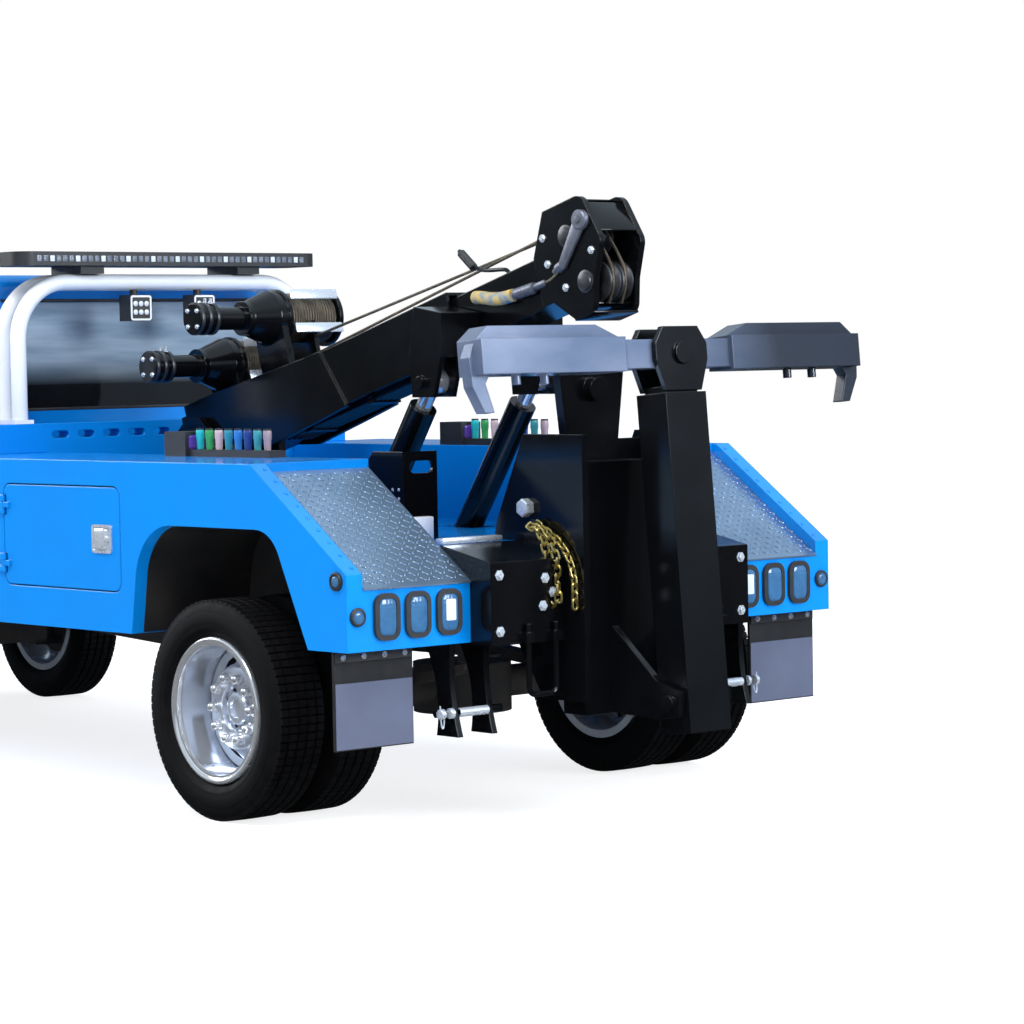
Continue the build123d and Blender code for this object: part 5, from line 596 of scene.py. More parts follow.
class WRECKER_OT_finishes(bpy.types.Operator):
    """Makes the finishes and lays them on the solid frame"""

    bl_idname = "wrecker.finishes"
    bl_label = "Finishes"

    def execute(self, context):
        colours = context.scene.wrecker_colours
        blue, black = tuple(colours.body), tuple(colours.boom)
        finish("body_paint", blue, 0.16, second=(0.003, 0.195, 0.64), scale=1.6, amount=0.7, bump=0.04,
               grain=420,
               spec=0.35, coat=0.2, spread=0.08, eased=0.006)
        finish("boom_black", black, 0.10, second=(0.0032, 0.0036, 0.005), scale=5, amount=0.8, bump=0.05,
               grain=300,
               spec=0.38, spread=0.14, eased=0.005)
        # Painted reflection: the crossbar's blue-grey and its lighter smears are painted sky sheen over
        # black paint.
        sheen = finish("bar_painted_sky_sheen", tuple(colours.crossbar), 0.2, metal=0.2, second=(0.16, 0.19, 0.28),
                       scale=6, amount=0.8,
                       bump=0.05, grain=200, coat=0.5, stretch=(1, 0.5, 1), eased=0.006)
        # Painted reflection: the painted sky sheen fades to near-black from Y 0 to Y -0.5, so the right half
        # is darker.
        graded(sheen, "Y", 0.0, -0.50, (0.014, 0.019, 0.032))
        finish("chassis_black", (0.016, 0.016, 0.018), 0.5, second=(0.05, 0.045, 0.04), scale=7,
               amount=0.5, bump=0.15)
        finish("cast_iron", (0.035, 0.034, 0.034), 0.62, metal=0.3, second=(0.085, 0.06, 0.045), scale=9,
               amount=0.6,
               bump=0.4, grain=160)
        finish("polished", (0.78, 0.83, 0.92), 0.12, metal=0.72, second=(0.52, 0.58, 0.70), scale=7,
               amount=0.55,
               spread=0.16)
        finish("plate_metal", (0.30, 0.42, 0.58), 0.24, metal=0.85, second=(0.14, 0.22, 0.34), scale=5,
               amount=0.6,
               bump=0.08, grain=260, spread=0.2)
        finish("bright_chrome", (0.78, 0.79, 0.81), 0.08, metal=0.78, second=(0.55, 0.57, 0.6), scale=12,
               amount=0.4)
        finish("bare_steel", (0.45, 0.46, 0.48), 0.34, metal=0.95, second=(0.27, 0.25, 0.23), scale=18,
               amount=0.6,
               bump=0.1, spread=0.25)
        finish("hard_plastic", (0.018, 0.019, 0.021), 0.42, second=(0.03, 0.03, 0.033), scale=20,
               amount=0.5, bump=0.25,
               grain=500)
        finish("hoop_white", tuple(colours.hoop), 0.18, second=(0.66, 0.7, 0.78), scale=4, amount=0.5,
               bump=0.04,
               grain=300, spec=0.4, coat=0.3)
        finish("flap_rubber", (0.009, 0.009, 0.011), 0.6, second=(0.022, 0.021, 0.021), scale=16,
               amount=0.6, bump=0.3,
               grain=260, spec=0.3)
        finish("flap_grey", (0.098, 0.114, 0.178), 0.42, second=(0.06, 0.07, 0.112), scale=3, amount=0.7,
               bump=0.12,
               grain=180, spec=0.4)
        finish("tyre_rubber", (0.0020, 0.0020, 0.0028), 0.6, second=(0.0050, 0.0048, 0.0055), scale=22,
               amount=0.7,
               bump=0.35, grain=320, spec=0.14, spread=0.2)
        finish("yellow_zinc", (0.62, 0.47, 0.13), 0.28, metal=0.95, second=(0.38, 0.36, 0.22), scale=30,
               amount=0.7)
        # Painted reflection: the panes' light blue and level streaks stand for reflected sky and cloud.
        pane = sky_painted_glazing("glass_painted_sky", (0.27, 0.37, 0.46), (0.58, 0.68, 0.76), 0.15)
        # Painted reflection: the painted sky gives way to near-black from z 1.70 down to z 1.58.
        graded(pane, "Z", 1.70, 1.58, (0.008, 0.009, 0.011))
        cellular("lamp_clear", (0.62, 0.68, 0.76), (0.4, 0.47, 0.56), 60)
        cellular("lamp_smoke", (0.04, 0.13, 0.27), (0.02, 0.07, 0.16), 70)
        cellular("lamp_white", (0.62, 0.67, 0.72), (0.45, 0.5, 0.57), 70)
        cellular("lamp_amber", (0.75, 0.27, 0.02), (0.5, 0.15, 0.01), 80)
        cellular("lamp_led", (0.10, 0.12, 0.16), (0.42, 0.47, 0.55), 90)
        cellular("lamp_violet", (0.12, 0.05, 0.38), (0.05, 0.03, 0.2), 60)
        woven("seat_cloth", (0.05, 0.055, 0.065), (0.085, 0.09, 0.1), 320)
        stranded("wire_rope", (0.17, 0.145, 0.11), (0.07, 0.058, 0.045), 90)
        finish("dark_steel", (0.05, 0.052, 0.058), 0.3, metal=0.85, second=(0.16, 0.16, 0.17), scale=14,
               amount=0.7,
               bump=0.1, spread=0.25)
        finish("strap_grey", (0.16, 0.175, 0.22), 0.35, metal=0.5, second=(0.07, 0.075, 0.1), scale=18,
               amount=0.7, bump=0.2,
               grain=200, spread=0.2)
        # Painted shade: near-black floors of the liner's hand holes stand for the dim inside of the wheel.
        finish("hole_painted_shade", (0.002, 0.002, 0.003), 0.7, second=(0.006, 0.006, 0.007), scale=20, spec=0.1)
        finish("zinc", (0.72, 0.78, 0.86), 0.22, metal=0.6, second=(0.5, 0.57, 0.66), scale=24,
               amount=0.6, spread=0.2)
        finish("sling_cloth", (0.62, 0.43, 0.10), 0.8, second=(0.03, 0.20, 0.42), scale=26, amount=1.0,
               bump=0.5,
               grain=400, spec=0.2)
        for name, nodes in NODE_FINISH.items():
            for node in nodes:
                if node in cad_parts:
                    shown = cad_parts[node]
                    shown.data.materials.clear()
                    shown.data.materials.append(FINISH[name])
        return {"FINISHED"}


class WRECKER_OT_stage(bpy.types.Operator):
    """Sets the floor, the soft studio light and the camera"""

    bl_idname = "wrecker.stage"
    bl_label = "Stage"

    def execute(self, context):
        scene = context.scene
        scene.view_settings.view_transform = "Standard"
        world = bpy.data.worlds.new("studio")
        scene.world = world
        world.use_nodes = True
        nodes, links = world.node_tree.nodes, world.node_tree.links
        plain = nodes["Background"]
        plain.inputs["Color"].default_value = (0.86, 0.92, 1.0, 1)
        plain.inputs["Strength"].default_value = 0.72
        where = nodes.new("ShaderNodeTexCoord")
        split = nodes.new("ShaderNodeSeparateXYZ")
        links.new(where.outputs["Generated"], split.inputs["Vector"])
        ramp = nodes.new("ShaderNodeValToRGB")
        ramp.color_ramp.elements[0].position = 0.0
        ramp.color_ramp.elements[0].color = (0.07, 0.085, 0.10, 1)
        ramp.color_ramp.elements[1].position = 0.8
        ramp.color_ramp.elements[1].color = (0.72, 0.88, 1.0, 1)
        for height, shade in ((0.07, (0.26, 0.32, 0.38, 1)), (0.22, (0.55, 0.66, 0.78, 1)),
                              (0.45, (0.34, 0.42, 0.50, 1))):
            ramp.color_ramp.elements.new(height).color = shade
        links.new(split.outputs["Z"], ramp.inputs["Fac"])
        room = nodes.new("ShaderNodeBackground")
        links.new(ramp.outputs["Color"], room.inputs["Color"])
        white = nodes.new("ShaderNodeBackground")
        white.inputs["Color"].default_value = (1, 1, 1, 1)
        white.inputs["Strength"].default_value = 1.0
        shiny, seen = light_paths(nodes, links)
        links.new(layered(nodes, links, shiny, plain.outputs[0], room.outputs[0], seen, white.outputs[0]),
                  nodes["World Output"].inputs["Surface"])
        fresh()
        bpy.ops.mesh.primitive_plane_add(size=120, location=(0, 0, -0.0005))
        floor = named("floor")
        bpy.ops.object.transform_apply(location=True, rotation=True, scale=True)
        edit(floor)
        bpy.ops.mesh.subdivide(number_cuts=3)
        bpy.ops.object.mode_set(mode="OBJECT")
        paper = bpy.data.materials.new("paper_white")
        paper.use_nodes = True
        nodes, links = paper.node_tree.nodes, paper.node_tree.links
        soft = nodes["Principled BSDF"]
        soft.inputs["Base Color"].default_value = (0.93, 0.94, 0.95, 1)
        soft.inputs["Roughness"].default_value = 0.9
        soft.inputs["Specular IOR Level"].default_value = 0.0
        lit = nodes.new("ShaderNodeEmission")
        lit.inputs["Color"].default_value = (1, 1, 1, 1)
        lit.inputs["Strength"].default_value = 1.6
        dim = nodes.new("ShaderNodeEmission")
        dim.inputs["Color"].default_value = (0.05, 0.055, 0.06, 1)
        shiny, seen = light_paths(nodes, links)
        share = nodes.new("ShaderNodeMath")
        share.operation = "MULTIPLY"
        share.inputs[1].default_value = 0.5
        links.new(seen, share.inputs[0])
        links.new(layered(nodes, links, shiny, soft.outputs[0], dim.outputs[0], share.outputs[0],
                          lit.outputs[0]),
                  nodes["Material Output"].inputs["Surface"])
        floor.data.materials.append(paper)
        for name, spot, aim_at, size, power, tint in (
                ("key", (-6.5, 6.5, 11.0), (-1.5, 0.3, 1.0), 5.0, 1300, (1.0, 0.98, 0.95)),
                ("rear_fill", (-11.0, -3.0, 4.5), (-2.5, 0.0, 1.0), 4.0, 850, (0.85, 0.92, 1.0)),
                ("front_fill", (9.0, 5.0, 6.0), (1.5, 0.0, 1.0), 5.0, 700, (1.0, 1.0, 1.0))):
            lamp = bpy.data.lights.new(name, "AREA")
            lamp.energy = power
            lamp.size = size
            lamp.color = tint
            stand = bpy.data.objects.new(name, lamp)
            scene.collection.objects.link(stand)
            stand.location = spot
            stand.rotation_euler = (Vector(aim_at) - Vector(spot)).to_track_quat("-Z", "Y").to_euler()
        lens = bpy.data.cameras.new("photo_view")
        lens.sensor_width = 36.0
        lens.lens = 115.86
        lens.clip_end = 300
        camera = bpy.data.objects.new("photo_view", lens)
        scene.collection.objects.link(camera)
        turn, tilt, roll = math.radians(-41.02), math.radians(-2.76), -0.018
        ahead = Vector((math.cos(tilt) * math.cos(turn), math.cos(tilt) * math.sin(turn), math.sin(tilt)))
        right = ahead.cross(Vector((0, 0, 1))).normalized()
        up = right.cross(ahead)
        across = right * math.cos(roll) + up * math.sin(roll)
        rise = up * math.cos(roll) - right * math.sin(roll)
        camera.matrix_world = Matrix.Translation((-11.653, 8.175, 1.682)) @ Matrix(
            (across, rise, -ahead)).transposed().to_4x4()
        scene.camera = camera
        return {"FINISHED"}


def light_paths(nodes, links):
    """Two masks: rays off gloss, and rays that show the camera the background, straight or through glass."""
    path = nodes.new("ShaderNodeLightPath")
    seen = nodes.new("ShaderNodeMath")
    seen.operation = "MAXIMUM"
    links.new(path.outputs["Is Camera Ray"], seen.inputs[0])
    links.new(path.outputs["Is Transmission Ray"], seen.inputs[1])
    return path.outputs["Is Glossy Ray"], seen.outputs["Value"]


def layered(nodes, links, first_mask, base, first, second_mask, second):
    """Base shader with two others laid over it by masks."""
    for mask, over in ((first_mask, first), (second_mask, second)):
        mix = nodes.new("ShaderNodeMixShader")
        links.new(mask, mix.inputs[0])
        links.new(base, mix.inputs[1])
        links.new(over, mix.inputs[2])
        base = mix.outputs["Shader"]
    return base


# Wheels


def tyre_mesh(name, blocks, groove):
    """One tyre about the Y axis at the origin: a turned carcass with raised tread blocks."""
    base = TYRE_R - groove - 0.0015
    half = [(0.0835, 0.252), (0.0835, 0.268), (0.098, 0.281), (0.107, 0.297), (0.1085, 0.300),
            (0.1085, 0.305),
            (0.1115, 0.318), (0.1125, 0.326), (0.1115, 0.344), (0.1090, 0.356), (0.1075, 0.3575),
            (0.1065, 0.366),
            (0.1010, 0.381), (0.0960, base), (0.0640, base + 0.001), (0.0585, base + 0.001),
            (0.0225, base + 0.0015),
            (0.0170, base + 0.0015)]
    piece = spun(name, half + [(-y, r) for y, r in reversed(half)], blocks, way=(0, 1, 0))
    edit(piece)
    ribs = ((0.064, 0.096), (0.0225, 0.0585), (-0.017, 0.017), (-0.0585, -0.0225), (-0.096, -0.064))

    def on_rib(centre, normal):
        outward = math.hypot(centre.x, centre.z)
        return outward > base - 0.004 and any(low < centre.y < high for low, high in ribs)

    pick(piece, on_rib)
    bpy.ops.mesh.inset(thickness=0.0026, depth=groove, use_individual=True)
    done(piece, 32)
    return piece


class WRECKER_OT_tyres(bpy.types.Operator):
    """Models the tyres with ribs, blocks and sidewall rings"""

    bl_idname = "wrecker.tyres"
    bl_label = "Tyres"

    def execute(self, context):
        sizes = context.scene.wrecker_sizes
        master = tyre_mesh("tyre_master", sizes.blocks, sizes.groove)
        for side, _ in SIDES:
            low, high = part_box(f"tyres_rear_{side}")
            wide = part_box(f"tyre_front_{side}")
            half = (wide[1].y - wide[0].y) / 2
            middle = (wide[0].y + wide[1].y) / 2
            pair = [copy_of(master, "tyre", Matrix.Translation((REAR_AXLE, y, TYRE_R)))
                    for y in (low.y + half, high.y - half)]
            rear = joined(f"tread_tyres_rear_{side}", pair)
            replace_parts(fitted(rear, f"wheel_rear_{side}", "tyre_rubber"), f"tyres_rear_{side}")
            spot = Matrix.Translation((FRONT_AXLE, middle, TYRE_R))
            front = copy_of(master, f"tread_tyre_front_{side}", spot)
            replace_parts(fitted(front, f"wheel_front_{side}", "tyre_rubber"), f"tyre_front_{side}")
        dropped(master)
        return {"FINISHED"}


class WRECKER_OT_wheel_trim(bpy.types.Operator):
    """Models polished wheel liners, rim lips, wheel nut caps and hubs"""

    bl_idname = "wrecker.wheel_trim"
    bl_label = "Wheel trim"

    def execute(self, context):
        nut = turned("nut", NUT, sides=12, angle=40)
        for body, section, axle, face, edge, seat, cap in (
                ("wheel_rear", DEEP_LINER, REAR_AXLE, 1.013, 1.1772, 0.072, 0.0495),
                ("wheel_front", FLUSH_LINER, FRONT_AXLE, 1.092, 1.0452, 0.0005, 0.0925)):
            for side, sign in SIDES:
                out = (0, sign, 0)
                spots = ring(axle, sign * (face + seat), TYRE_R, 0.1155, 10)
                nuts = [copy_of(nut, "nut_copy", aim(spot, out)) for spot in spots]
                fitted(joined(f"{body}_nuts_{side}", nuts), f"{body}_{side}", "bright_chrome")
                liner = spun(f"{body}_liner_{side}", section, 80, (axle, sign * face, TYRE_R), out, 30)
                fitted(liner, f"{body}_{side}", "polished")
                if section is DEEP_LINER:
                    self.hand_holes(liner, axle)
                rim = spun(f"{body}_lip_{side}", RIM_LIP, 72, (axle, sign * edge, TYRE_R), out, 50)
                fitted(rim, f"{body}_{side}", "bright_chrome")
                spots = ring(axle, sign * (face + cap), TYRE_R, 0.071, 8, 4 / 9)
                heads = bolts(f"{body}_hub_bolts_{side}", spots, out, 0.0055, 0.006)
                fitted(heads, f"{body}_{side}", "dark_steel")
        dropped(nut)
        return {"FINISHED"}

    def hand_holes(self, liner, axle):
        """Sinks eight openings into the liner's slope, their floors painted near-black as painted shade for
        the dim inside of the wheel.
        """
        liner.data.materials.append(FINISH["hole_painted_shade"])
        edit(liner)

        def in_hole(centre, normal):
            x, z = centre.x - axle, centre.z - TYRE_R
            turn = math.degrees(math.atan2(z, x)) % 45
            return 0.168 < math.hypot(x, z) < 0.186 and abs(normal.y) > 0.2 and 11 < turn < 34

        pick(liner, in_hole)
        bpy.ops.mesh.inset(thickness=0.003, depth=-0.016)
        liner.active_material_index = 1
        bpy.ops.object.material_slot_assign()
        done(liner, 30)


# Service body


class WRECKER_OT_tread_plates(bpy.types.Operator):
    """Raises the diamond lugs and rivets on the sloped tread plates"""

    bl_idname = "wrecker.tread_plates"
    bl_label = "Tread plates"

    def execute(self, context):
        pitch = context.scene.wrecker_sizes.tread_pitch
        low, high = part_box("tread_plates")
        slope = math.atan2(SLOPE_DROP, SLOPE_RUN)
        run = (high.x - low.x) / math.cos(slope)
        inner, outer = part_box("toolbox_left")[0].y + 0.004, high.y
        fresh()
        bpy.ops.mesh.primitive_uv_sphere_add(segments=10, ring_count=6, radius=1)
        lug = named("lug")
        lug.scale = (pitch * 0.46, pitch * 0.13, 0.0026)
        bpy.ops.object.transform_apply(location=True, rotation=True, scale=True)
        edit(lug)
        bpy.ops.mesh.bisect(plane_co=(0, 0, -0.0004), plane_no=(0, 0, 1), clear_inner=True, use_fill=True)
        done(lug, 60)
        tile = []
        for column, row in ((0, 0), (1, 0), (0, 1), (1, 1)):
            way = 45 if (column + row) % 2 == 0 else -45
            spot = Matrix.Translation((pitch * (column + 0.5), pitch * (row + 0.5), 0))
            tile.append(copy_of(lug, "lug_copy", spot @ Matrix.Rotation(math.radians(way), 4, "Z")))
        dropped(lug)
        tile = joined("lug_tile", tile)
        counts = (int(run / (pitch * 2)), int((outer - inner) / (pitch * 2)))
        for axis, count in enumerate(counts):
            row = tile.modifiers.new("rows", "ARRAY")
            row.use_relative_offset = False
            row.use_constant_offset = True
            row.constant_offset_displace = (pitch * 2 * (axis == 0), pitch * 2 * (axis == 1), 0)
            row.count = count
            fresh()
            tile.select_set(True)
            bpy.context.view_layer.objects.active = tile
            bpy.ops.object.modifier_apply(modifier=row.name)
        spare = ((run - counts[0] * pitch * 2) / 2, (outer - inner - counts[1] * pitch * 2) / 2)
        for side, sign in SIDES:
            start = Matrix.Translation((low.x, inner if sign > 0 else -outer, low.z + 0.0062))
            lie = start @ Matrix.Rotation(-slope, 4, "Y") @ Matrix.Translation((*spare, 0.0005))
            fitted(copy_of(tile, f"tread_lugs_{side}", lie), "chassis", "plate_metal")
            shares = [(step + 0.5) / RIVETS for step in range(RIVETS)]
            spots = [(SLOPE_FRONT - SLOPE_RUN * share, sign * RIVET_Y, BODY_TOP - SLOPE_DROP * share)
                     for share in shares]
            face = (-math.sin(slope), 0, math.cos(slope))
            rivets = [turned("rivet", RIVET, spot, face, 12) for spot in spots]
            fitted(joined(f"lip_rivets_{side}", rivets), "chassis", "body_paint")
        dropped(tile)
        return {"FINISHED"}


class WRECKER_OT_tail_lamps(bpy.types.Operator):
    """Models lamp grommets, lenses and markers on the rear panels"""

    bl_idname = "wrecker.tail_lamps"
    bl_label = "Tail lamps"

    def execute(self, context):
        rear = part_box("tail_lamps")[0].x + 0.010
        for side, sign in SIDES:
            frames, clear, smoke = [], [], []
            for y, is_white in ((0.744, True), (0.886, False), (1.025, False)):
                seat = aim((rear, sign * y, LAMP_Z), BACK)
                frames.append(tray("grommet", 0.112, 0.164, 0.040, 0.0135, 0.017, 0.006, seat))
                seat = aim((rear - 0.004, sign * y, LAMP_Z), BACK)
                smoke.append(pad("lens", 0.074, 0.126, 0.026, 0.009, 0.005, seat))
                if is_white:
                    seat = aim((rear - 0.0165, sign * y, LAMP_Z + 0.008), BACK)
                    clear.append(pad("window", 0.044, 0.076, 0.006, 0.003, 0.001, seat))
            for y, z, x, way in ((1.152, 0.782, rear, BACK),
                                 (BODY_HALF, 0.906, REAR_AXLE - 0.762, (0, sign, 0))):
                spot = (x, sign * y, z)
                frames.append(turned("ring", MARKER_RING, spot, way, 28))
                smoke.append(turned("dome", MARKER_DOME, spot, way, 24, 60))
            fitted(joined(f"lamp_grommets_{side}", frames), "chassis", "hard_plastic")
            fitted(joined(f"lamp_lenses_{side}", smoke), "chassis", "lamp_smoke")
            fitted(joined(f"reverse_lens_{side}", clear), "chassis", "lamp_white")
        return {"FINISHED"}


class WRECKER_OT_body_trim(bpy.types.Operator):
    """Models tool door latches and the mud flaps' panels, strips and bolts"""

    bl_idname = "wrecker.body_trim"
    bl_label = "Body trim"

    def execute(self, context):
        size = context.scene.wrecker_sizes.bolt
        low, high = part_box("mud_flaps")
        for side, sign in SIDES:
            out = (0, sign, 0)
            skin = sign * BODY_HALF
            plate = tray("latch_plate", 0.128, 0.108, 0.014, 0.006, 0.010, 0.004,
                         aim((LATCH_X, skin, LATCH_Z), out))
            paddle = pad("latch_paddle", 0.070, 0.078, 0.012, 0.006, 0.004,
                         aim((LATCH_X + 0.010, skin + sign * 0.0025, LATCH_Z), out))
            lock = turned("latch_lock", LATCH_LOCK, (LATCH_X - 0.042, skin + sign * 0.002, LATCH_Z), out,
                          20)
            latch = joined(f"latch_{side}", [plate, paddle, lock])
            fitted(latch, f"toolbox_door_{side}", "zinc")
            inner, outer = sign * 0.845, sign * 1.189
            panel = slab(f"flap_panel_{side}", (low.x - 0.003, inner, low.z + 0.004),
                         (low.x - 0.0004, outer, low.z + 0.235), 0.001, 1)
            fitted(panel, "chassis", "flap_grey")
            strip = slab(f"flap_strip_{side}", (low.x - 0.006, inner, high.z - 0.040),
                         (low.x - 0.0004, outer, high.z - 0.004), 0.0015, 1)
            fitted(strip, "chassis", "hard_plastic")
            spots = [(low.x - 0.006, sign * (0.88 + 0.092 * step), high.z - 0.022) for step in range(4)]
            heads = bolts(f"flap_bolts_{side}", spots, BACK, size * 0.9)
            fitted(heads, "chassis", "bright_chrome")
        return {"FINISHED"}


class WRECKER_OT_controls(bpy.types.Operator):
    """Models the lever handles in their colours and the console lenses"""

    bl_idname = "wrecker.controls"
    bl_label = "Controls"

    def execute(self, context):
        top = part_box("control_levers")[1].z
        for step, tint in enumerate(HANDLE_TINTS):
            finish(f"handle_{step}", tint, 0.3, second=[c * 0.6 for c in tint], scale=30, amount=0.5,
                   coat=0.4)
        for side, sign in SIDES:
            lens = pad(f"console_lens_{side}", 0.072, 0.056, 0.010, 0.004, 0.003,
                       aim((REAR_AXLE + 0.745, sign * LEVER_Y, 1.358), BACK))
            fitted(lens, "chassis", "lamp_violet")
            for step in range(len(HANDLE_TINTS)):
                spot = (LEVER_X + LEVER_PITCH * step, sign * LEVER_Y, top - 0.0842)
                grip = turned(f"lever_grip_{side}_{step}", LEVER_GRIP, spot, UP, 20)
                fitted(grip, "chassis", f"handle_{step}")
        return {"FINISHED"}


# Boom, winches and rope


class WRECKER_OT_ropes(bpy.types.Operator):
    """Models the grooved sheaves, the wire on the drums and the two winch ropes along the boom"""

    bl_idname = "wrecker.ropes"
    bl_label = "Winch ropes"

    def execute(self, context):
        half = [(-0.0294, 0.026), (-0.0294, 0.066), (-0.026, 0.0732), (-0.018, 0.0734), (-0.006, 0.0555)]
        groove = half + [(0, 0.0545)] + [(-along, radius) for along, radius in reversed(half)]
        wheels = [spun("sheave", groove, 40, boom_spot(along, off, across), (0, 1, 0))
                  for along, off in SHEAVE_SPOTS for across in (-0.0303, 0.0303)]
        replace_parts(fitted(joined("grooved_sheaves", wheels), "jib", "dark_steel"), "sheaves")
        (top_along, top_off), (low_along, low_off) = SHEAVE_SPOTS
        lanes = zip(DRUM_SPOTS, (-0.07, -0.13), (0.0303, -0.0303))
        for number, ((along, off), across, lane) in enumerate(lanes):
            middle = boom_spot(along, off)
            turns = [2 * math.pi * step / TURN_STEPS for step in range(TURN_STEPS * ROPE_TURNS)]
            coil = [(middle.x + DRUM_R * math.cos(t), DRUM_END_Y + ROPE_PITCH * t / (2 * math.pi),
                     middle.z + DRUM_R * math.sin(t)) for t in turns]
            fitted(pipe(f"drum_wire_{number}", coil, ROPE_R, 1, 2), "boom", "wire_rope")
            start = (along, off - DRUM_R)
            over = [(top_along + 0.061 * math.cos(t), top_off + 0.061 * math.sin(t))
                    for t in (math.radians(d) for d in (92, 60, 30, 5))]
            down = [(low_along + a, low_off + o)
                    for a, o in ((0.063, 0.05), (0.061, 0), (0.045, -0.045), (0.010, -0.085))]
            straight = [(start[0] + (over[0][0] - start[0]) * k / 5,
                         start[1] + (over[0][1] - start[1]) * k / 5)
                        for k in range(5)]
            route = [boom_spot(a, o, across + (lane - across) * min(a / top_along, 1))
                     for a, o in straight + over + down]
            rope = coated(pipe(f"winch_rope_{number}", route, ROPE_R, 2, 6), "wire_rope")
            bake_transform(rope)
        return {"FINISHED"}


class WRECKER_OT_boom_head(bpy.types.Operator):
    """Models the head's covers and pins, and the tow line tied along the upper boom"""

    bl_idname = "wrecker.boom_head"
    bl_label = "Boom head"

    def execute(self, context):
        size = context.scene.wrecker_sizes.bolt
        up = boom_spot(0, 1) - boom_spot(0, 0)
        covers = [bar("head_cover", boom_spot(2.29, 0.236), boom_spot(2.455, 0.236), 0.186, 0.008, up),
                  bar("head_back", boom_spot(2.490, 0.214), boom_spot(2.546, 0.09), 0.186, 0.008, up, 1.0,
                      0.003),
                  bar("head_foot", boom_spot(2.34, -0.186), boom_spot(2.45, -0.186), 0.222, 0.010, up),
                  bar("head_shoe", boom_spot(2.325, -0.150), boom_spot(2.44, -0.150), 0.205, 0.012, up)]
        fitted(joined("head_covers", covers), "jib", "boom_black")
        pins = [turned("pin_head", PIN_HEAD, boom_spot(along, off, sign * 0.1122), (0, sign, 0), 28)
                for along, off in SHEAVE_SPOTS for _, sign in SIDES]
        fitted(joined("sheave_pin_heads", pins), "jib", "dark_steel")
        face = (0, 1, 0)
        spots = [boom_spot(along, off, HEAD_SKIN)
                 for along, off in ((2.26, 0.15), (2.26, 0.05), (2.33, -0.06), (2.50, 0.03))]
        fitted(bolts("head_bolts", spots, face, size * 1.2, 0.009), "jib", "zinc")
        low = Vector((REAR_AXLE - 0.750, 0.121, 1.990))
        strap = bar("hook_strap", boom_spot(2.485, 0.150, 0.121), low, 0.060, 0.016, face, 0.62, 0.006)
        boss = turned("strap_boss", STRAP_BOSS, boom_spot(2.485, 0.150, HEAD_SKIN), face, 28)
        socket = turned("strap_socket", STRAP_SOCKET, low + Vector((-0.006, 0, 0.01)),
                        (0.085, -0.012, -0.04), 20)
        fitted(joined("tow_strap", [strap, boss, socket]), "jib", "strap_grey")
        wire = [low + Vector(step) for step in ((0.02, -0.003, -0.014), (0.05, -0.007, -0.035),
                                                (0.10, -0.011, -0.052), (0.16, -0.011, -0.068))]
        fitted(pipe("tow_wire", wire, 0.0055, 2), "jib", "wire_rope")
        ferrule = turned("tow_ferrule", FERRULE, wire[2], wire[3] - wire[2], 20)
        rows = [(0, 0.012)]
        for step in range(5):
            first = 0.022 * step
            rows += [(first + 0.006, 0.0215), (first + 0.020, 0.0215), (first + 0.023, 0.0175)]
        crimp = turned("tow_crimp", rows + [(0.118, 0.010)], wire[3], (0.12, 0.004, -0.026), 20)
        fitted(joined("tow_fittings", [ferrule, crimp]), "jib", "strap_grey")
        tail = [low + Vector(step) for step in ((0.272, -0.002, -0.093), (0.32, 0.002, -0.104),
                                                (0.39, 0.002, -0.106), (0.45, 0.001, -0.097),
                                                (0.488, -0.001, -0.097))]
        fitted(pipe("tow_sling", tail, 0.025, 4), "jib", "sling_cloth")
        lever = [boom_spot(along, off, 0.06) for along, off in ((1.99, 0.094), (1.985, 0.115),
                                                                (1.95, 0.128),
                                                               (1.86, 0.150), (1.80, 0.180),
                                                               (1.735, 0.268))]
        fitted(pipe("hook_lever", lever, 0.008, 3), "jib", "boom_black")
        grip = turned("lever_sleeve", LEVER_SLEEVE, lever[-2], lever[-1] - lever[-2], 20)
        fitted(grip, "jib", "hard_plastic")
        return {"FINISHED"}


class WRECKER_OT_winch_trim(bpy.types.Operator):
    """Models the winch motors' bands and bolts, and the drums' guards and studs"""

    bl_idname = "wrecker.winch_trim"
    bl_label = "Winch trim"

    def execute(self, context):
        size = context.scene.wrecker_sizes.bolt
        bands, heads, plates = [], [], []
        for along, off in DRUM_SPOTS:
            middle = boom_spot(along, off)
            for across in (0.334, 0.372, 0.410):
                bands.append(spun("motor_band", MOTOR_BAND, 36, (middle.x, across, middle.z), (0, 1, 0)))
            for radius, count, across in ((0.045, 4, 0.430), (0.102, 8, 0.0262)):
                heads += ring(middle.x, across, middle.z, radius, count, 0.5)
            for rise in (0.068, -0.074):
                start = boom_spot(along + 0.118, off + rise, -0.232)
                end = boom_spot(along + 0.118, off + rise, 0.010)
                plates.append(bar("drum_guard", start, end, 0.040, 0.006,
                                  boom_spot(1, 0) - boom_spot(0, 0)))
            for shift in (-0.02, 0.02):
                spot = (middle.x + shift, 0.352, middle.z + 0.060)
                plates.append(turned("stud", STUD, spot, UP, 14))
        fitted(joined("motor_bands", bands), "boom", "dark_steel")
        fitted(bolts("winch_bolts", heads, (0, 1, 0), size * 0.8, 0.007), "boom", "zinc")
        fitted(joined("winch_guards", plates), "boom", "zinc")
        return {"FINISHED"}


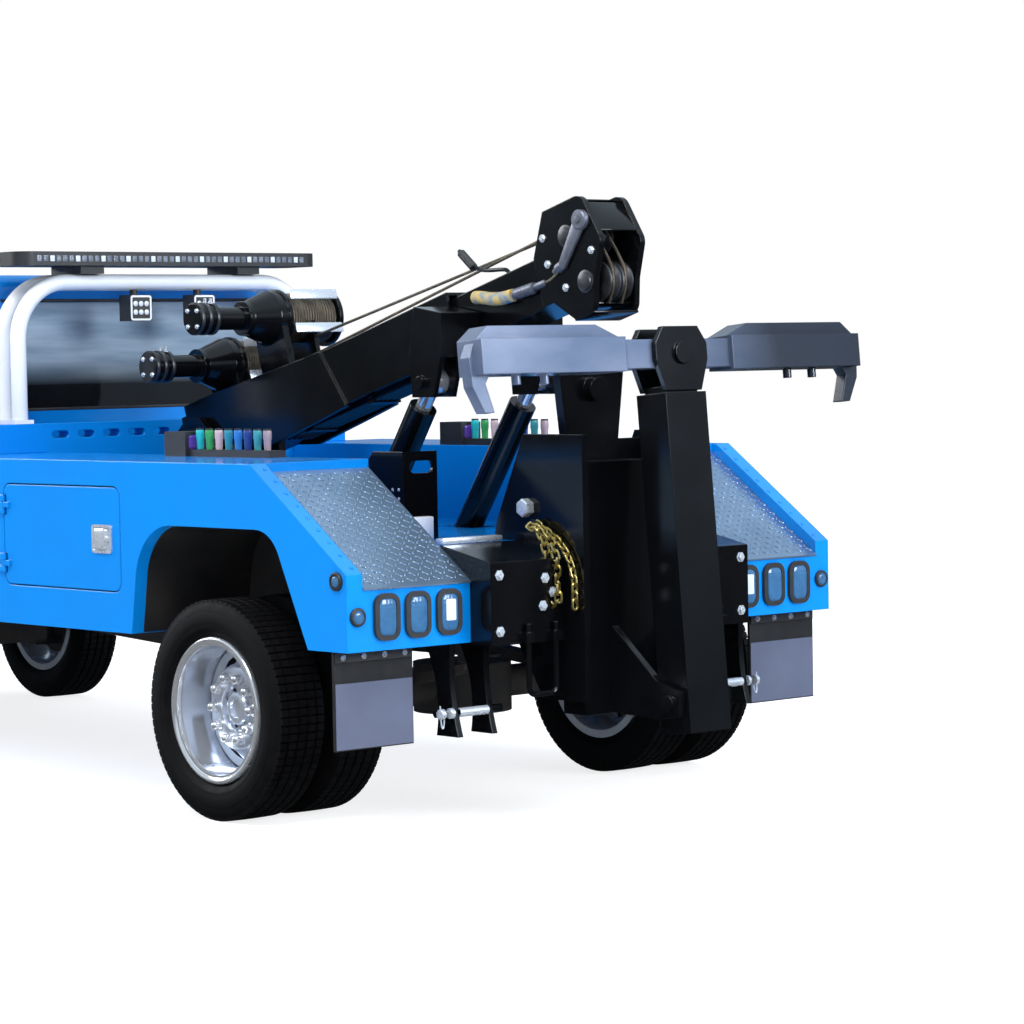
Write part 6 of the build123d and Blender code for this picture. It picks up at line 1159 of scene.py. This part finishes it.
class WRECKER_OT_lift_trim(bpy.types.Operator):
    """Models the bolts, pins, chains and plates round the rear housing and the wheel lift"""

    bl_idname = "wrecker.lift_trim"
    bl_label = "Lift trim"

    def execute(self, context):
        size = context.scene.wrecker_sizes.bolt
        spots = ((0.385, 0.879), (0.348, 0.827), (0.397, 0.780), (0.60, 0.90), (0.60, 0.70))
        heads = [(TAIL_X, sign * y, z) for y, z in spots for _, sign in SIDES]
        fitted(bolts("housing_bolts", heads, BACK, size * 1.5, 0.011), "chassis", "zinc")
        pin_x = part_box("hitch_brackets")[0].x + 0.028
        for side, sign in SIDES:
            out = (0, sign, 0)
            spot = (REAR_AXLE - 0.734, sign * MAST_SKIN, 1.121)
            cap = turned(f"mast_bolt_{side}", MAST_BOLT, spot, out, 6, 20)
            fitted(cap, "chassis", "zinc")
            strip = slab(f"edge_strip_{side}", (REAR_AXLE - 0.648, sign * 0.34, DECK_TOP),
                         (REAR_AXLE - 0.606, sign * 0.625, 1.022), 0.004)
            fitted(strip, "chassis", "zinc")
            rest = slab(f"rest_pad_{side}", (REAR_AXLE - 0.336, sign * 0.405, DECK_TOP),
                        (REAR_AXLE - 0.3004, sign * 0.500, 1.085), 0.005)
            fitted(rest, "chassis", "hoop_white")
            spots = [(REAR_AXLE - 0.275 + 0.036 * column, sign * 0.5203, 1.05 + 0.034 * row)
                     for column in range(6) for row in range(5)]
            dots = [turned("dot", RACK_DOT, spot, out, 8) for spot in spots]
            fitted(joined(f"rack_dots_{side}", dots), "chassis", "zinc")
            collars = [turned("pin_collar", PIN_COLLAR, (pin_x, sign * y, HITCH_PIN_Z), out, 20)
                       for y in (0.733, 0.776)]
            sleeve = spun("pin_sleeve", PIN_SLEEVE, 24, (pin_x, sign * 0.573, HITCH_PIN_Z), out)
            bend = [(pin_x + x, sign * y, HITCH_PIN_Z + z)
                    for x, y, z in ((0, 0.772, -0.02), (-0.004, 0.776, -0.05), (-0.004, 0.790, -0.05),
                                    (0, 0.789, 0.03))]
            clip = pipe("pin_clip", bend, 0.003, 2)
            fitted(joined(f"hitch_pin_{side}", collars + [sleeve, clip]), "chassis", "zinc")
        peg = Vector((REAR_AXLE - 0.800, 0.322, 1.062))
        strands = ((0.010, ((-0.005, 0), (-0.045, -0.010), (-0.105, -0.060), (-0.135, -0.130),
                            (-0.128, -0.205), (-0.118, -0.245))),
                   (0.022, ((-0.010, -0.006), (-0.060, -0.030), (-0.088, -0.090), (-0.092, -0.170),
                            (-0.100, -0.262), (-0.128, -0.285), (-0.150, -0.262), (-0.150, -0.200))))
        for number, (across, route) in enumerate(strands):
            points = [peg + Vector((x, across, z)) for x, z in route]
            fitted(chain(f"chain_strand_{number}", points), "chassis", "yellow_zinc")
        return {"FINISHED"}


# Cab and hoop


class WRECKER_OT_light_bar(bpy.types.Operator):
    """Models the light bar's lamp modules and the work lamps' diodes"""

    bl_idname = "wrecker.light_bar"
    bl_label = "Light bar"

    def execute(self, context):
        low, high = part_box("light_bar")
        top, bottom = high.z, high.z - 0.058
        cells, bright = [], []
        count = 44
        wide = (high.y - low.y - 0.16) / count
        for way, x in ((-1, low.x), (1, high.x)):
            for step in range(count):
                y = low.y + 0.08 + wide * (step + 0.5)
                cell = pad("module", wide * 0.84, 0.030, 0.003, 0.002, 0.0012,
                           aim((x - way * 0.0028, y, (top + bottom) / 2), (way, 0, 0)))
                (bright if step % 4 == 1 else cells).append(cell)
        fitted(joined("light_modules", cells), "chassis", "lamp_led")
        fitted(joined("light_modules_bright", bright), "chassis", "lamp_clear")
        strips = [slab("bar_strip", (x - 0.0004, low.y + 0.07, z), (x + 0.0004, high.y - 0.07, z + 0.006),
                       0.0003, 1)
                  for x in (low.x + 0.0006, high.x - 0.0006) for z in (top - 0.011, bottom + 0.005)]
        fitted(joined("light_bar_strips", strips), "chassis", "zinc")
        low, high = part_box("work_lamps")
        diodes, rims = [], []
        for y in (-0.165, 0.165):
            z = low.z + 0.055
            rims.append(tray("lamp_rim", 0.106, 0.106, 0.012, 0.006, 0.008, 0.003,
                             aim((low.x + 0.005, y, z), BACK)))
            diodes += [turned("diode", DIODE, (low.x + 0.003, y + across, z + rise), BACK, 14)
                       for across in (-0.028, 0, 0.028) for rise in (-0.018, 0.018)]
        fitted(joined("work_lamp_rims", rims), "chassis", "hoop_white")
        fitted(joined("work_lamp_diodes", diodes), "chassis", "lamp_white")
        return {"FINISHED"}


class WRECKER_OT_bench_seat(bpy.types.Operator):
    """Models the padded bench with sewn channels"""

    bl_idname = "wrecker.bench_seat"
    bl_label = "Bench seat"

    def execute(self, context):
        low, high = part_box("bench_seat")
        parts = []
        cushion = ((low.x + 0.06, low.y + 0.01, low.z + 0.06),
                   (high.x - 0.01, high.y - 0.01, low.z + 0.30))
        back = ((low.x, low.y + 0.01, low.z + 0.27), (low.x + 0.15, high.y - 0.01, high.z - 0.01))
        for name, axis, (near, far) in (("cushion", 2, cushion), ("back", 0, back)):
            fresh()
            near, far = Vector(near), Vector(far)
            bpy.ops.mesh.primitive_cube_add(size=1, location=(near + far) / 2)
            piece = named(name)
            piece.scale = far - near
            bpy.ops.object.transform_apply(location=True, rotation=True, scale=True)
            edit(piece)
            bpy.ops.mesh.subdivide(number_cuts=9)
            pick(piece, lambda c, n: abs(c[axis] - far[axis]) < 0.002)
            bpy.ops.mesh.inset(thickness=0.006, depth=0.010, use_individual=True)
            bpy.ops.object.mode_set(mode="OBJECT")
            soft = piece.modifiers.new("soft", "SUBSURF")
            soft.levels = soft.render_levels = 2
            bpy.ops.object.modifier_apply(modifier="soft")
            parts.append(piece)
        seat = joined("padded_bench", parts)
        done(seat, 80)
        fitted(seat, "chassis", "seat_cloth")
        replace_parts(seat, "bench_seat")
        return {"FINISHED"}


class WRECKER_OT_cab_trim(bpy.types.Operator):
    """Models the rear window's seals, the door handles and the mirror panes"""

    bl_idname = "wrecker.cab_trim"
    bl_label = "Cab trim"

    def execute(self, context):
        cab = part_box("cab_shell")[0].x
        seal = [slab("seal", (cab + near, -0.66, low), (cab + far, 0.66, low + 0.014), 0.004)
                for near, far, low in ((0.0035, 0.016, 1.472), (0.0335, 0.046, 1.934))]
        fitted(joined("rear_window_seal", seal), "chassis", "hard_plastic")
        for side, sign in SIDES:
            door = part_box(f"door_{side}")
            x = door[0].x + 0.17
            skin = sign * (max(abs(corner.y) for corner in door) - 0.028)
            cup = tray("handle_cup", 0.19, 0.075, 0.024, 0.004, 0.010, 0.003,
                       aim((x, skin, 1.235), (0, sign, 0)))
            grip = slab("handle_grip", (x - 0.082, skin, 1.222), (x + 0.082, skin + sign * 0.018, 1.246),
                        0.006, 3)
            handle = joined(f"door_handle_{side}", [cup, grip])
            fitted(handle, f"door_{side}", "body_paint")
            low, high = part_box(f"mirror_{side}")
            spot = (low.x - 0.0005, sign * 1.145, (low.z + high.z) / 2 + 0.035)
            glass = pad(f"mirror_pane_{side}", 0.13, 0.27, 0.02, 0.002, 0.001, aim(spot, BACK))
            fitted(glass, f"door_{side}", "bright_chrome")
        return {"FINISHED"}


class WRECKER_OT_nose_trim(bpy.types.Operator):
    """Models the grille surround, radiator, headlamp bezels and lenses, bumper pad and wipers"""

    bl_idname = "wrecker.nose_trim"
    bl_label = "Nose trim"

    def execute(self, context):
        low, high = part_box("grille")
        rim, lap, front = 0.024, 0.002, high.x
        edges = (((low.y - rim, high.z), (high.y + rim, high.z + rim)),
                 ((low.y - rim, low.z - rim), (high.y + rim, low.z)),
                 ((low.y - rim, low.z - lap), (low.y, high.z + lap)),
                 ((high.y, low.z - lap), (high.y + rim, high.z + lap)))
        sides = [slab("surround", (front - 0.006, *a), (front + 0.012, *b), 0.005, 3) for a, b in edges]
        fitted(joined("grille_surround", sides), "chassis", "bright_chrome")
        fins = [slab("fin", (low.x - 0.040, y - 0.0035, low.z + 0.010),
                     (low.x - 0.012, y + 0.0035, high.z - 0.010), 0.001, 1)
                for y in (low.y + 0.02 + 0.0232 * step for step in range(51))]
        fitted(joined("radiator_fins", fins), "chassis", "dark_steel")
        low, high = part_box("headlamps")
        middle = (high.z + low.z) / 2
        for side, sign in SIDES:
            bezel = tray(f"headlamp_bezel_{side}", 0.288, 0.193, 0.020, 0.016, 0.011, 0.010,
                         aim((high.x, sign * 0.785, middle), AHEAD))
            fitted(bezel, "chassis", "bright_chrome")
            domes = []
            for y, radius in ((0.715, 0.060), (0.830, 0.042)):
                rows = [(along, radius * share) for along, share in HEADLAMP_DOME] + [(0.013, 0.002)]
                domes.append(turned("dome", rows, (high.x + 0.006, sign * y, middle), AHEAD, 36, 60))
            fitted(joined(f"headlamp_lens_{side}", domes), "chassis", "lamp_clear")
            signal = pad(f"turn_lens_{side}", 0.032, 0.150, 0.008, 0.004, 0.003,
                         aim((high.x + 0.006, sign * 0.897, middle), AHEAD))
            fitted(signal, "chassis", "lamp_amber")
        low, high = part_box("front_bumper")
        step = slab("bumper_pad", (low.x + 0.030, low.y + 0.06, high.z + 0.0003),
                    (high.x - 0.020, high.y - 0.06, high.z + 0.009), 0.003)
        edit(step)
        bpy.ops.mesh.subdivide(number_cuts=5)
        pick(step, lambda c, n: n.z > 0.9)
        bpy.ops.mesh.inset(thickness=0.005, depth=0.002, use_individual=True)
        done(step)
        fitted(step, "chassis", "flap_rubber")
        low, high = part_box("cab_glass")
        rise = (high.x - 1.045) / (2.05 - low.z)
        arms = []
        for start, end in ((-0.60, -0.02), (0.0, 0.60)):
            foot = Vector((high.x + 0.034, start, low.z - 0.030))
            tip = Vector((high.x - rise * 0.05 + 0.030, (start + end) / 2, low.z + 0.05))
            bend = (foot + tip) / 2 + Vector((0.006, 0, 0.004))
            arms.append(pipe("wiper_arm", [foot, foot + Vector((0, 0.02, 0.012)), bend, tip], 0.006, 2))
            arms.append(turned("wiper_pivot", WIPER_PIVOT, foot, (0.7, 0, 0.7), 16))
            blade = [Vector((high.x - rise * rise_z + 0.026, y, low.z + rise_z))
                     for y, rise_z in ((start + 0.06, 0.030), ((start + end) / 2, 0.050), (end, 0.070))]
            arms.append(pipe("wiper_blade", blade, 0.007, 2))
        fitted(joined("wipers", arms), "chassis", "hard_plastic")
        return {"FINISHED"}


GROUPS = (WRECKER_OT_finishes, WRECKER_OT_stage, WRECKER_OT_tyres, WRECKER_OT_wheel_trim,
          WRECKER_OT_tread_plates,
          WRECKER_OT_tail_lamps, WRECKER_OT_body_trim, WRECKER_OT_controls, WRECKER_OT_ropes,
          WRECKER_OT_boom_head,
          WRECKER_OT_winch_trim, WRECKER_OT_lift_trim, WRECKER_OT_light_bar, WRECKER_OT_bench_seat,
          WRECKER_OT_cab_trim, WRECKER_OT_nose_trim)


class WRECKER_PT_panel(bpy.types.Panel):
    """Lists the wrecker's pieces and settings"""

    bl_idname = "WRECKER_PT_panel"
    bl_label = "Wrecker"
    bl_space_type = "VIEW_3D"
    bl_region_type = "UI"
    bl_category = "Wrecker"

    def draw(self, context):
        for group in (context.scene.wrecker_colours, context.scene.wrecker_sizes):
            for key in group.bl_rna.properties.keys():
                if key not in ("rna_type", "name"):
                    self.layout.prop(group, key)
        for operator in GROUPS:
            self.layout.operator(operator.bl_idname)


CLASSES = (WreckerColours, WreckerSizes, *GROUPS, WRECKER_PT_panel)


def register():
    for item in CLASSES:
        bpy.utils.register_class(item)
    bpy.types.Scene.wrecker_colours = bpy.props.PointerProperty(type=WreckerColours)
    bpy.types.Scene.wrecker_sizes = bpy.props.PointerProperty(type=WreckerSizes)


def unregister():
    del bpy.types.Scene.wrecker_sizes
    del bpy.types.Scene.wrecker_colours
    for item in reversed(CLASSES):
        bpy.utils.unregister_class(item)


def main():
    register()
    for operator in GROUPS:
        group, _, call = operator.bl_idname.partition(".")
        getattr(getattr(bpy.ops, group), call)()


if __name__ == "__main__":
    main()
